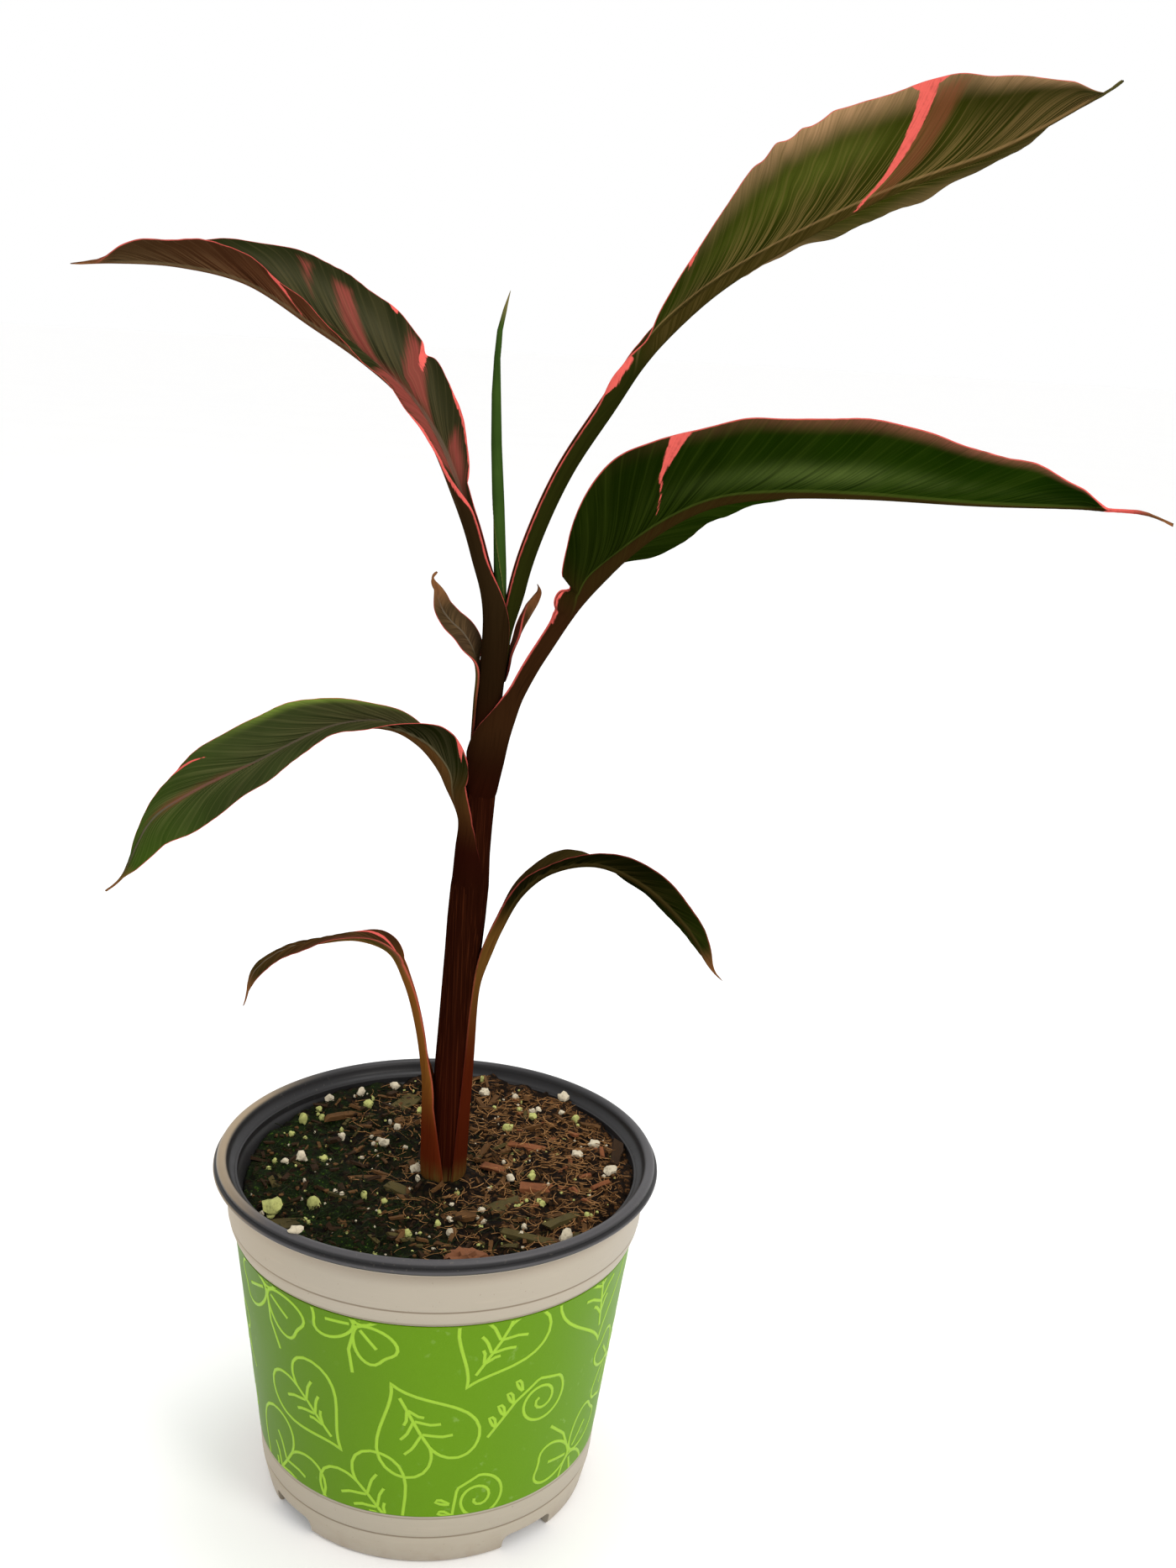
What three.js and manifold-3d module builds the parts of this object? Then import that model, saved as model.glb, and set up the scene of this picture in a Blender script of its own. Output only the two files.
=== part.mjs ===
import * as THREE from "three";
import { mergeVertices } from "three/addons/utils/BufferGeometryUtils.js";
import Module from "manifold-3d";

// A young pink-marked banana plant in a round nursery pot.
// Millimetres, +Z up. The origin is on the pot's axis, at its flat underside.
// "Near" is the side of the plant towards -Y, "far" the side towards +Y.

// Pot
const potHeight = 122.4;
const rimRadius = 76;
const rimHeight = 4.4;
const rimWidth = 4.6;
const baseRadius = 56.6;
const wallThickness = 1.4;
const linerThickness = 1.2;
const floorThickness = 2;
const seam = 0.3;
const sleeveBottom = { height: 20.1, radius: 59.7 };
const sleeveTop = { height: 96.4, radius: 68.6 };
const sleeveThickness = 0.5;
const upperBand = { height: 102.5, radius: 71 };
const wallTopRadius = 71.8;
const lowerGroove = { height: 11.4, radius: 59 };
const grooveDepth = 0.5;
const grooveWidth = 1.6;
const drain = { count: 4, firstBearing: 42.5, width: 21, height: 6, innerRadius: 44, corner: 2.5 };
const potSides = 48;

// The rolled rim's outer face: how far in from its radius, and how far below the top
const rimFace = [[1.2, 4.1], [0.2, 3.5], [0, 2.4], [0.5, 0.8], [1.8, 0]];
const rimInnerFace = [[rimWidth - 1, 0.2], [rimWidth, 1.2]];

// Soil: it rises towards the pot's wall, most at the back and right, round a level
// seat under the stem
const soilLevel = 110;
const soilDish = 4;
const soilSlope = { x: 0.034, y: 0.055 };
const soilBump = 0.9;
const soilBrink = 1;
const soilFall = 14;
const seatRadius = 11;
const soilReaches = [0.9, 0.76, 0.6, 0.44, 0.28];
const soilSides = 32;

// Stem: a flat foot on the soil, a flare, a lean that grows with height, and two
// shoulders where the sheaths of the upper leaves begin
const stemStart = { x: 2, y: 1 };
const stemLean = 0.036;
const stemCurve = 0.00012;
const stemFoot = soilLevel + seam;
const leafThreeShoulder = 212;
const leafFourShoulder = 246;
const stemFork = 262;
const stemOutline = [
  [stemFoot, 6.5],
  [stemFoot + 18, 6.1],
  [150, 5.6],
  [172, 5.4],
  [195, 5.5],
  [leafThreeShoulder, 5.8],
  [leafThreeShoulder, 4.8],
  [leafFourShoulder, 4.7],
  [leafFourShoulder, 3.5],
  [stemFork, 3.4],
];
const stemSides = 20;

// Each leaf is one curve from its sheath's foot to its tip. A route point is the
// distance out from the stem and the height. Folds are degrees, from flat (0) to
// folded straight up (90), at even steps along the blade. A trim scales a half's width
// at even steps along the blade, and a flare widens the near half round one place: its
// reach, how far back from the blade's start it lies, and its spread.
const leaves = [
  {
    name: "leaf_1",
    bearing: 191,
    sheath: { foot: stemFoot, top: 140, radius: [6.9, 8.4], thickness: 1.1 },
    wrap: { near: [88, 45], far: [95, 60] },
    route: [
      [8.6, 150], [11.2, 168], [15.6, 184], [21.4, 195], [32.2, 199.6],
      [44.6, 198.6], [56.8, 195.5], [66, 188], [69.5, 176],
    ],
    petiole: { half: 2.6, nearOpen: 65, farOpen: 75, ease: 18, thickness: 1.5 },
    blade: { start: 52, nearHalf: 6, farHalf: 6, widest: 0.4, filament: 2, thickness: 0.9 },
    fullness: { near: [0.7, 0.7], far: [0.7, 0.7] },
    nearFold: [35, 20, 18, 15, -15, -25, -25],
    farFold: [70, 30, -12, -17, -10, 0, 0],
  },
  {
    name: "leaf_2",
    bearing: -12,
    sheath: { foot: stemFoot, top: 180, radius: [6.9, 5.8], thickness: 0.9 },
    wrap: { near: [53, 30], far: [60, 35] },
    route: [
      [7.7, 191], [12, 204], [19.2, 218], [29.3, 227], [44.5, 231],
      [60.5, 225.5], [75.5, 213], [84, 201], [88.5, 196.5],
    ],
    petiole: { half: 3, nearOpen: 70, farOpen: 70, ease: 18, thickness: 2 },
    blade: { start: 30, nearHalf: 7, farHalf: 6.5, widest: 0.55, filament: 3, thickness: 1 },
    fullness: { near: [0.8, 0.8], far: [0.8, 0.8] },
    nearFold: [40, 25, 20, 45, 75, 85, 90],
    farFold: [60, 35, 15, -25, -40, -40, -20],
  },
  {
    name: "leaf_3",
    bearing: 189,
    sheath: { foot: leafThreeShoulder + 0.8, top: 240, radius: [5.2, 5.2], thickness: 1 },
    wrap: { near: [168, 70], far: [160, 80] },
    route: [
      [8, 251], [11, 258], [18.6, 267], [28.7, 272], [46, 271],
      [71.5, 258.5], [91, 248.5], [103.8, 239], [113.5, 220], [118.5, 215],
    ],
    petiole: { half: 5, nearOpen: 85, farOpen: 80, ease: 16, thickness: 2.6 },
    blade: { start: 12, nearHalf: 17, farHalf: 15, widest: 0.48, filament: 5, thickness: 1.4 },
    fullness: { near: [0.7, 0.9], far: [2.4, 1.2] },
    nearFold: [56, 66, 12, 3, -6, -20, -38, -42, -30],
    farFold: [80, 50, 40, 42, 45, 45, 40, 25, 20],
    trim: {
      near: [1, 1, 1, 1, 1.05, 1.05, 1.05, 1, 1],
      far: [1, 0.6, 0.62, 0.95, 1.07, 1.12, 1.05, 0.66, 0.5],
    },
  },
  {
    name: "leaf_4",
    bearing: -8,
    sheath: { foot: leafFourShoulder + 0.6, top: 262, radius: [4, 5.8], thickness: 1 },
    wrap: { near: [165, 155], far: [150, 130] },
    route: [
      [7.3, 273], [9.2, 283], [12.9, 291.5], [17.6, 300], [27.5, 316],
      [40.5, 330], [54.5, 341.5], [69, 349], [87, 352.5], [112, 354],
      [148, 354], [184, 355], [196, 354.5], [204, 352],
    ],
    petiole: { half: 4, nearOpen: 75, farOpen: 80, ease: 26, thickness: 3 },
    blade: { start: 61, nearHalf: 23.5, farHalf: 25, widest: 0.35, filament: 20, thickness: 2 },
    fullness: { near: [0.3, 0.65], far: [0.8, 0.9] },
    nearFold: [100, 95, 88, 80, 75, 70, 60],
    farFold: [20, -16, -12, -4, 0, 0, 0],
    trim: {
      near: [0.5, 0.85, 1.05, 1.13, 1.05, 0.96, 1, 1, 1, 1.07, 1.1, 1.06, 1.05, 1.08, 1.14, 1.05, 1],
      far: [1, 1.35, 1.25, 1.05, 1, 1, 1, 1, 1],
    },
    nearFlare: [{ reach: 3.4, back: 5, spread: 4.5 }],
  },
  {
    name: "leaf_5",
    bearing: 184,
    sheath: { foot: stemFork + seam, top: 304, radius: [2.8, 4.6], thickness: 0.9 },
    wrap: { near: [172, 130], far: [150, 100] },
    route: [
      [5, 318], [8.8, 333], [13.8, 346], [21.9, 363], [31, 375],
      [45, 386], [60, 395], [80, 406], [100, 409.5], [119, 409.3], [132, 408],
    ],
    petiole: { half: 4, nearOpen: 60, farOpen: 80, ease: 24, thickness: 3 },
    blade: { start: 46, nearHalf: 21, farHalf: 21, widest: 0.5, filament: 8, thickness: 1.6 },
    fullness: { near: [1.3, 0.8], far: [0.8, 0.8] },
    nearFold: [-30, -15, 3, 17, 38, 52],
    farFold: [60, 57, 50, 45, 47, 55],
    trim: {
      near: [1, 1, 1, 1, 0.97, 0.97, 0.97, 1, 1],
      far: [1, 0.88, 1, 1.1, 1.14, 1, 0.8, 0.6, 0.6],
    },
  },
  {
    name: "leaf_6",
    bearing: 7,
    sheath: { foot: stemFork + seam, top: 300, radius: [1.6, 3], thickness: 0.8 },
    wrap: { near: [120, 95], far: [120, 90] },
    route: [
      [5.2, 318], [9.6, 334], [18.3, 355], [30.3, 375], [41, 392],
      [57, 408.5], [75, 421.5], [111, 442], [148, 458.5], [177, 476], [183, 480],
    ],
    petiole: { half: 4, nearOpen: 80, farOpen: 85, ease: 18, thickness: 3 },
    blade: { start: 102, nearHalf: 29, farHalf: 26.5, widest: 0.56, filament: 7, thickness: 2 },
    fullness: { near: [1.15, 0.75], far: [1, 1] },
    nearFold: [110, 95, 85, 80, 80, 78, 75],
    farFold: [60, 0, -10, -15, -15, -12, 0],
    trim: {
      near: [0.8, 0.8, 0.85, 0.95, 1.03, 1.08, 1.09, 1.02, 0.99, 0.96, 0.95, 0.99, 1.03, 1, 1, 0.95, 1],
      far: [1, 1.3, 1.3, 1.12, 1, 1, 1, 1, 1],
    },
    nearFlare: [{ reach: 2.6, back: 13, spread: 7 }, { reach: -2.2, back: -2, spread: 7 }],
  },
];

// The blade opens from the petiole's channel over a short lead and settles after it,
// bows a little across each half, and swells from the rib's thin edge
const bladeLead = 10;
const bladeSettle = 8;
const bladeBow = 12;
const bladeSpread = 20;
const bladeSplit = 0.45;
const ribBuild = 1.15;
const petioleMargin = 1;
const filamentHalf = 0.5;
const sheathShares = [0, 0.18, 0.4, 0.6, 0.8, 1];
const bladeShares = [0, 0.16, 0.55, 1];
const steps = { petiole: 14, bladeInner: 8, bladeOuter: 9, smallLeaf: 18 };

// Two withered leaf ends beside the stem's fork
const smallLeaves = [
  {
    name: "leaf_small_left",
    bearing: 181,
    sheath: { foot: stemFork + seam, top: 290, radius: [4.1, 5.3], thickness: 0.8 },
    wrap: { near: [22, 30], far: [25, 30] },
    route: [[7, 297], [10.5, 302.5], [14.5, 306], [17.6, 310], [19, 315], [21, 318.5]],
    petiole: { half: 3, nearOpen: 10, farOpen: 30, ease: 10, thickness: 0.8 },
    blade: { start: 4, nearHalf: 3.4, farHalf: 4.4, widest: 0.3, filament: 1, thickness: 0.8 },
    fullness: { near: [0.6, 1], far: [0.6, 1] },
    nearFold: [-20, -60, -60, -40, -20],
    farFold: [30, 55, 60, 60, 50],
  },
  {
    name: "leaf_small_right",
    bearing: 24,
    sheath: { foot: 287, top: 296, radius: [3.7, 4.4], thickness: 0.8 },
    wrap: { near: [22, 22], far: [22, 22] },
    route: [[6.4, 301], [8.6, 305.5], [10.9, 309.5], [12.9, 313], [13.8, 316], [12.8, 318.6]],
    petiole: { half: 2, nearOpen: 20, farOpen: 20, ease: 10, thickness: 0.8 },
    blade: { start: 4, nearHalf: 2.2, farHalf: 2.6, widest: 0.5, filament: 1, thickness: 0.8 },
    fullness: { near: [0.6, 0.6], far: [0.6, 0.6] },
    nearFold: [20, 20, 40, 60],
    farFold: [20, 20, 20, 20],
  },
];

// New leaf, still rolled up, at the middle of the stem: height, distance to the right
// of the stem's start and radius
const spear = [
  [stemFork + seam, 10.3, 1],
  [285, 12.1, 1.3],
  [308, 13.6, 1.9],
  [323, 12.7, 2.2],
  [343, 11.5, 2],
  [362, 10.1, 1.8],
  [377, 9.4, 1.6],
  [388, 9.2, 1.1],
  [396, 9.6, 0.9],
  [403, 11.1, 0.6],
  [408, 12.4, 0.35],
];
const spearSides = 10;

const degrees = THREE.MathUtils.degToRad;
const wasm = await Module();
wasm.setup();

const paints = {
  potWhite: new THREE.MeshStandardMaterial({ color: 0xd5cdc3, roughness: 0.6 }),
  potDark: new THREE.MeshStandardMaterial({ color: 0x2b3138, roughness: 0.45 }),
  sleeveGreen: new THREE.MeshStandardMaterial({ color: 0x6f9e14, roughness: 0.5 }),
  soilBrown: new THREE.MeshStandardMaterial({ color: 0x2a2018, roughness: 1 }),
  stemMaroon: new THREE.MeshStandardMaterial({ color: 0x34130c, roughness: 0.5 }),
  petioleBrown: new THREE.MeshStandardMaterial({ color: 0x4f3720, roughness: 0.5 }),
  leafGreen: new THREE.MeshStandardMaterial({ color: 0x33461f, roughness: 0.5 }),
};

function stemAxis(height) {
  const rise = height - soilLevel;
  return new THREE.Vector3(stemStart.x + stemLean * rise + stemCurve * rise * rise, stemStart.y, height);
}

function heading(bearing) {
  return new THREE.Vector3(Math.cos(degrees(bearing)), Math.sin(degrees(bearing)), 0);
}

function smooth(from, to, value) {
  return THREE.MathUtils.smoothstep(value, from, to);
}

// A smooth value through keys that stand at even steps from 0 to 1
function through(keys, place) {
  const last = keys.length - 1;
  const x = THREE.MathUtils.clamp(place, 0, 1) * last;
  const i = Math.min(Math.floor(x), last - 1);
  const t = x - i;
  const before = i > 0 ? keys[i - 1] : 2 * keys[i] - keys[i + 1];
  const after = i + 2 <= last ? keys[i + 2] : 2 * keys[i + 1] - keys[i];
  const slopeIn = (keys[i + 1] - before) / 2;
  const slopeOut = (after - keys[i]) / 2;
  const rise = keys[i + 1] - keys[i];
  const squared = 3 * rise - 2 * slopeIn - slopeOut;
  const cubed = slopeIn + slopeOut - 2 * rise;
  return keys[i] + slopeIn * t + squared * t * t + cubed * t * t * t;
}

// A closed skin over rings of equal count. Point i of an end ring faces point
// count - 1 - i, so each end is closed by a strip.
function loft(rings) {
  const count = rings[0].length;
  const places = rings.flat().flatMap((point) => [point.x, point.y, point.z]);
  const faces = [];
  for (let r = 0; r + 1 < rings.length; r += 1) {
    for (let i = 0; i < count; i += 1) {
      const a = r * count + i;
      const b = r * count + ((i + 1) % count);
      faces.push(a, b, a + count, b, b + count, a + count);
    }
  }
  const top = (rings.length - 1) * count;
  for (let i = 0; i + 1 < count / 2; i += 1) {
    const a = i;
    const b = i + 1;
    const c = count - 2 - i;
    const d = count - 1 - i;
    faces.push(a, c, b, a, d, c);
    faces.push(top + a, top + b, top + c, top + a, top + c, top + d);
  }
  const geometry = new THREE.BufferGeometry();
  geometry.setAttribute("position", new THREE.Float32BufferAttribute(places, 3));
  geometry.setIndex(tidyFaces(faces, places));
  return turnedOut(geometry);
}

// Faces with no area, where a strip closes on itself, are left out
function tidyFaces(faces, places) {
  const corner = (i) => new THREE.Vector3(places[3 * i], places[3 * i + 1], places[3 * i + 2]);
  const kept = [];
  for (let f = 0; f < faces.length; f += 3) {
    const triangle = new THREE.Triangle(corner(faces[f]), corner(faces[f + 1]), corner(faces[f + 2]));
    if (triangle.getArea() > 1e-9) kept.push(faces[f], faces[f + 1], faces[f + 2]);
  }
  return kept;
}

function volumeOf(geometry) {
  const place = geometry.attributes.position;
  const index = geometry.index.array;
  let volume = 0;
  for (let f = 0; f < index.length; f += 3) {
    const [a, b, c] = [0, 1, 2].map((k) => new THREE.Vector3().fromBufferAttribute(place, index[f + k]));
    volume += a.dot(b.cross(c)) / 6;
  }
  return volume;
}

function turnedOut(geometry) {
  if (volumeOf(geometry) > 0) return geometry;
  const index = geometry.index.array;
  for (let f = 0; f < index.length; f += 3) [index[f + 1], index[f + 2]] = [index[f + 2], index[f + 1]];
  return geometry;
}

function lathe(profile, sides) {
  const points = profile.map(([radius, height]) => new THREE.Vector2(radius, height));
  const geometry = new THREE.LatheGeometry(points, sides);
  geometry.rotateX(Math.PI / 2);
  geometry.deleteAttribute("normal");
  geometry.deleteAttribute("uv");
  const merged = mergeVertices(geometry, 1e-4);
  const places = Array.from(merged.attributes.position.array);
  merged.setIndex(tidyFaces(Array.from(merged.index.array), places));
  return turnedOut(merged);
}

function solidOf(geometry) {
  const bare = new THREE.BufferGeometry();
  bare.setAttribute("position", geometry.getAttribute("position"));
  bare.setIndex(geometry.index);
  const merged = mergeVertices(bare, 1e-4);
  return new wasm.Manifold(new wasm.Mesh({
    numProp: 3,
    vertProperties: new Float32Array(merged.attributes.position.array),
    triVerts: new Uint32Array(merged.index.array),
  }));
}

function geometryOf(solid) {
  const mesh = solid.getMesh();
  const geometry = new THREE.BufferGeometry();
  geometry.setAttribute("position", new THREE.BufferAttribute(mesh.vertProperties, 3));
  geometry.setIndex(new THREE.BufferAttribute(mesh.triVerts, 1));
  return geometry;
}

const plant = new THREE.Group();
plant.name = "potted_banana_plant";

function add(name, geometry, material) {
  const mesh = new THREE.Mesh(geometry, material);
  mesh.name = name;
  plant.add(mesh);
}

// A value between rows of [height, radius]
function between(rows, height) {
  const k = Math.max(1, rows.findIndex(([top]) => height <= top));
  const [low, lowRadius] = rows[k - 1];
  const [high, highRadius] = rows[k];
  return THREE.MathUtils.mapLinear(height, low, high, lowRadius, highRadius);
}

// The outer face of the pot's wall, without the recess for the sleeve
function wallRadius(height) {
  return between([
    [0, baseRadius],
    [lowerGroove.height, lowerGroove.radius],
    [sleeveBottom.height, sleeveBottom.radius],
    [sleeveTop.height, sleeveTop.radius],
    [upperBand.height, upperBand.radius],
    [potHeight, wallTopRadius],
  ], height);
}

// The inner face of the pot's wall
function innerRadius(height) {
  const recess = sleeveThickness + seam;
  return between([
    [floorThickness, baseRadius - wallThickness - recess],
    [sleeveBottom.height, sleeveBottom.radius - wallThickness - recess],
    [sleeveTop.height, sleeveTop.radius - wallThickness - recess],
    [potHeight, upperBand.radius - wallThickness - recess],
  ], height);
}

// The inner face of the dark layer, which the soil fills up to
function linerRadius(height) {
  return innerRadius(height) - seam - linerThickness;
}

function groove(height) {
  return [
    [wallRadius(height - grooveWidth / 2), height - grooveWidth / 2],
    [wallRadius(height) - grooveDepth, height],
    [wallRadius(height + grooveWidth / 2), height + grooveWidth / 2],
  ];
}

function addPot() {
  const recess = sleeveThickness + seam;
  const wallTop = potHeight - rimHeight;
  const inward = [wallTop, sleeveTop.height, sleeveBottom.height, floorThickness];
  const wall = lathe([
    [0, 0],
    [baseRadius, 0],
    ...groove(lowerGroove.height),
    [sleeveBottom.radius, sleeveBottom.height],
    [sleeveBottom.radius - recess, sleeveBottom.height],
    [sleeveTop.radius - recess, sleeveTop.height],
    [sleeveTop.radius, sleeveTop.height],
    ...groove(upperBand.height),
    [wallRadius(wallTop), wallTop],
    ...inward.map((height) => [innerRadius(height), height]),
    [0, floorThickness],
  ], potSides);

  let body = solidOf(wall);
  for (let k = 0; k < drain.count; k += 1) {
    body = body.subtract(solidOf(drainCut(drain.firstBearing + (360 / drain.count) * k)));
  }
  add("pot_wall", geometryOf(body), paints.potWhite);
}

// A wedge of the pot's foot, open below and outside, with rounded upper corners
function drainCut(bearing) {
  const half = degrees(drain.width / 2);
  const outer = baseRadius + 6;
  const corner = drain.corner / drain.innerRadius;
  const sides = 6;
  const rows = [
    [-1, half],
    [drain.height - drain.corner, half],
    [drain.height - 0.3 * drain.corner, half - corner / 3],
    [drain.height, half - corner],
  ];
  const rings = rows.map(([height, spread]) => {
    const turnAt = (i) => degrees(bearing) - spread + (2 * spread * i) / sides;
    const corners = Array.from({ length: sides + 1 }, (_, i) => turnAt(i));
    const inside = corners.map((turn) => around(drain.innerRadius, turn, height));
    const outside = corners.map((turn) => around(outer, turn, height));
    return [...inside, ...outside.reverse()];
  });
  return loft(rings);
}

function around(radius, turn, height) {
  return new THREE.Vector3(radius * Math.cos(turn), radius * Math.sin(turn), height);
}

// The dark inner layer and the rolled rim that it turns out into over the wall's edge
function addLiner() {
  const wallTop = potHeight - rimHeight;
  const bottom = drain.height + 2;
  const rimBottom = wallTop + seam;
  const upward = [bottom, sleeveBottom.height, sleeveTop.height];
  add("pot_liner", lathe([
    [linerRadius(bottom), bottom],
    ...upward.map((height) => [innerRadius(height) - seam, height]),
    [innerRadius(wallTop) - seam, rimBottom],
    ...[...rimFace, ...rimInnerFace].map(([inset, drop]) => [rimRadius - inset, potHeight - drop]),
    [linerRadius(wallTop), wallTop],
    ...upward.reverse().map((height) => [linerRadius(height), height]),
  ], potSides), paints.potDark);
}

function addSleeve() {
  const low = sleeveBottom.height + seam / 2;
  const high = sleeveTop.height - seam / 2;
  add("label_sleeve", lathe([
    [sleeveBottom.radius, low],
    [sleeveTop.radius, high],
    [sleeveTop.radius - sleeveThickness, high],
    [sleeveBottom.radius - sleeveThickness, low],
    [sleeveBottom.radius, low],
  ], potSides), paints.sleeveGreen);
}

function soilHeight(x, y) {
  const tilt = soilSlope.x * x + soilSlope.y * y;
  const bumps = Math.sin(x * 0.13 + 1) * Math.cos(y * 0.11) + 0.6 * Math.sin(x * 0.31 - y * 0.23);
  const dish = (soilDish * Math.hypot(x, y)) / linerRadius(soilLevel);
  const away = smooth(seatRadius, seatRadius + soilFall, Math.hypot(x - stemStart.x, y - stemStart.y));
  return soilLevel + away * (dish + tilt + soilBump * bumps);
}

// A plug that fills the pot, with a level seat for the stem in an uneven top. Where it
// stands above the wall its edge leans out with the rim's inner face
function addSoil() {
  const clear = 2 * seam;
  const bottomRadius = linerRadius(floorThickness) - clear;
  const edge = linerRadius(soilLevel) - clear;
  const wallTop = potHeight - rimHeight;
  const [rimInset, rimDrop] = rimInnerFace.at(-1);
  const rimLean = (rimRadius - rimInset - linerRadius(wallTop)) / (potHeight - rimDrop - wallTop);
  const ringAt = (radius, heightAt, lean = 0) => Array.from({ length: soilSides }, (_, i) => {
    const turn = (2 * Math.PI * (i + 0.5)) / soilSides;
    const x = radius * Math.cos(turn) + stemStart.x * (1 - radius / edge);
    const y = radius * Math.sin(turn) + stemStart.y * (1 - radius / edge);
    const height = heightAt(x, y);
    const spread = 1 + (lean * Math.max(0, height - wallTop)) / radius;
    return new THREE.Vector3(x * spread, y * spread, height);
  });
  const flat = (height) => () => height;
  const rings = [
    ringAt(1, flat(floorThickness + seam)),
    ringAt(bottomRadius, flat(floorThickness + seam)),
    ringAt(linerRadius(drain.height + 2) - clear, flat(drain.height + 2)),
    ringAt(linerRadius(sleeveBottom.height) - clear, flat(sleeveBottom.height)),
    ringAt(linerRadius(sleeveTop.height) - clear, flat(sleeveTop.height - 2)),
  ];
  rings.push(ringAt(edge, (x, y) => Math.min(soilHeight(x, y) - soilBrink, wallTop)));
  rings.push(ringAt(edge, soilHeight, rimLean));
  const reaches = soilReaches.map((share) => share * edge);
  for (const radius of [...reaches, seatRadius, 1]) rings.push(ringAt(radius, soilHeight));
  add("soil", loft(rings), paints.soilBrown);
}

function roundRing(centre, radius, sides) {
  return Array.from({ length: sides }, (_, i) => {
    const turn = (2 * Math.PI * (i + 0.5)) / sides;
    return around(radius, turn, 0).add(centre);
  });
}

function addStem() {
  const rings = stemOutline.map(([height, radius]) => roundRing(stemAxis(height), radius, stemSides));
  add("pseudostem", loft(rings), paints.stemMaroon);
}

function leafPath(leaf) {
  const out = heading(leaf.bearing);
  const { foot, top, radius } = leaf.sheath;
  const points = [0, 1 / 3, 2 / 3, 1].map((k) => {
    const height = THREE.MathUtils.lerp(foot, top, k);
    return stemAxis(height).addScaledVector(out, THREE.MathUtils.lerp(radius[0], radius[1], k));
  });
  const root = stemAxis(top);
  for (const [reach, height] of leaf.route) {
    points.push(new THREE.Vector3(root.x + out.x * reach, root.y + out.y * reach, height));
  }
  const curve = new THREE.CatmullRomCurve3(points);
  curve.arcLengthDivisions = 600;
  const length = curve.getLength();
  const sheathLength = new THREE.CatmullRomCurve3(points.slice(0, 4)).getLength();
  return { curve, length, sheathLength };
}

// Width and turn of one half of the leaf, at a distance along it
function halfSection(leaf, path, distance, near) {
  const { sheath, petiole, blade } = leaf;
  const wraps = near ? leaf.wrap.near : leaf.wrap.far;
  const along = Math.min(distance / path.sheathLength, 1);
  const radius = THREE.MathUtils.lerp(sheath.radius[0], sheath.radius[1], along);
  const wrap = degrees(THREE.MathUtils.lerp(wraps[0], wraps[1], along));
  if (distance < path.sheathLength) return { width: radius * wrap, ribTurn: 0, marginTurn: wrap };

  const start = path.sheathLength + blade.start;
  const place = (distance - start) / (path.length - blade.filament - start);
  const inBlade = THREE.MathUtils.clamp(place, 0, 1);
  const wing = place < 0 ? petiole.half : filamentHalf + (petiole.half - filamentHalf) * (1 - inBlade) ** 0.7;
  const fullness = near ? leaf.fullness.near : leaf.fullness.far;
  const power = THREE.MathUtils.lerp(fullness[0], fullness[1], inBlade);
  const skewed = inBlade ** (Math.log(0.5) / Math.log(blade.widest));
  const swell = Math.max(Math.sin(Math.PI * skewed), 0) ** power;
  const trim = leaf.trim ? through(near ? leaf.trim.near : leaf.trim.far, inBlade) : 1;
  let broad = wing + ((near ? blade.nearHalf : blade.farHalf) * trim - wing) * swell;
  for (const { reach, back, spread } of (near && leaf.nearFlare) || []) {
    broad += reach * Math.exp(-(((distance - start + back) / spread) ** 2));
  }

  const eased = smooth(path.sheathLength, path.sheathLength + petiole.ease, distance);
  const opened = smooth(start - bladeLead, start + bladeSettle, distance);
  const keyPlace = (distance - start + bladeSettle) / (path.length - start + bladeSettle);
  const fold = degrees(through(near ? leaf.nearFold : leaf.farFold, keyPlace));
  const bow = degrees(bladeBow);
  const channel = degrees(near ? petiole.nearOpen : petiole.farOpen);
  const ribTurn = eased * opened * (fold + bow);
  const marginTurn = THREE.MathUtils.lerp(wrap, THREE.MathUtils.lerp(channel, fold - bow, opened), eased);
  return { width: THREE.MathUtils.lerp(radius * wrap, broad, eased), ribTurn, marginTurn };
}

// How far a point at a share of the half's width lies out and up, and its turn
function arcPoint({ width, ribTurn, marginTurn }, share) {
  const bend = marginTurn - ribTurn;
  const turn = ribTurn + bend * share;
  if (Math.abs(bend) < 1e-4) {
    const reach = width * share;
    return { out: reach * Math.cos(turn), up: reach * Math.sin(turn), turn };
  }
  return {
    out: (width * (Math.sin(turn) - Math.sin(ribTurn))) / bend,
    up: (-width * (Math.cos(turn) - Math.cos(ribTurn))) / bend,
    turn,
  };
}

function leafFrame(leaf, path, distance) {
  const share = THREE.MathUtils.clamp(distance / path.length, 0, 1);
  const rightward = Math.cos(degrees(leaf.bearing)) > 0;
  const out = heading(leaf.bearing);
  const middle = path.curve.getPointAt(share);
  const ahead = path.curve.getTangentAt(share);
  const near = new THREE.Vector3(out.y, -out.x, 0);
  if (near.y > 0) near.negate();
  near.addScaledVector(ahead, -near.dot(ahead)).normalize();
  const upper = new THREE.Vector3().crossVectors(near, ahead).multiplyScalar(rightward ? 1 : -1);
  return { middle, near, upper };
}

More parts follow.
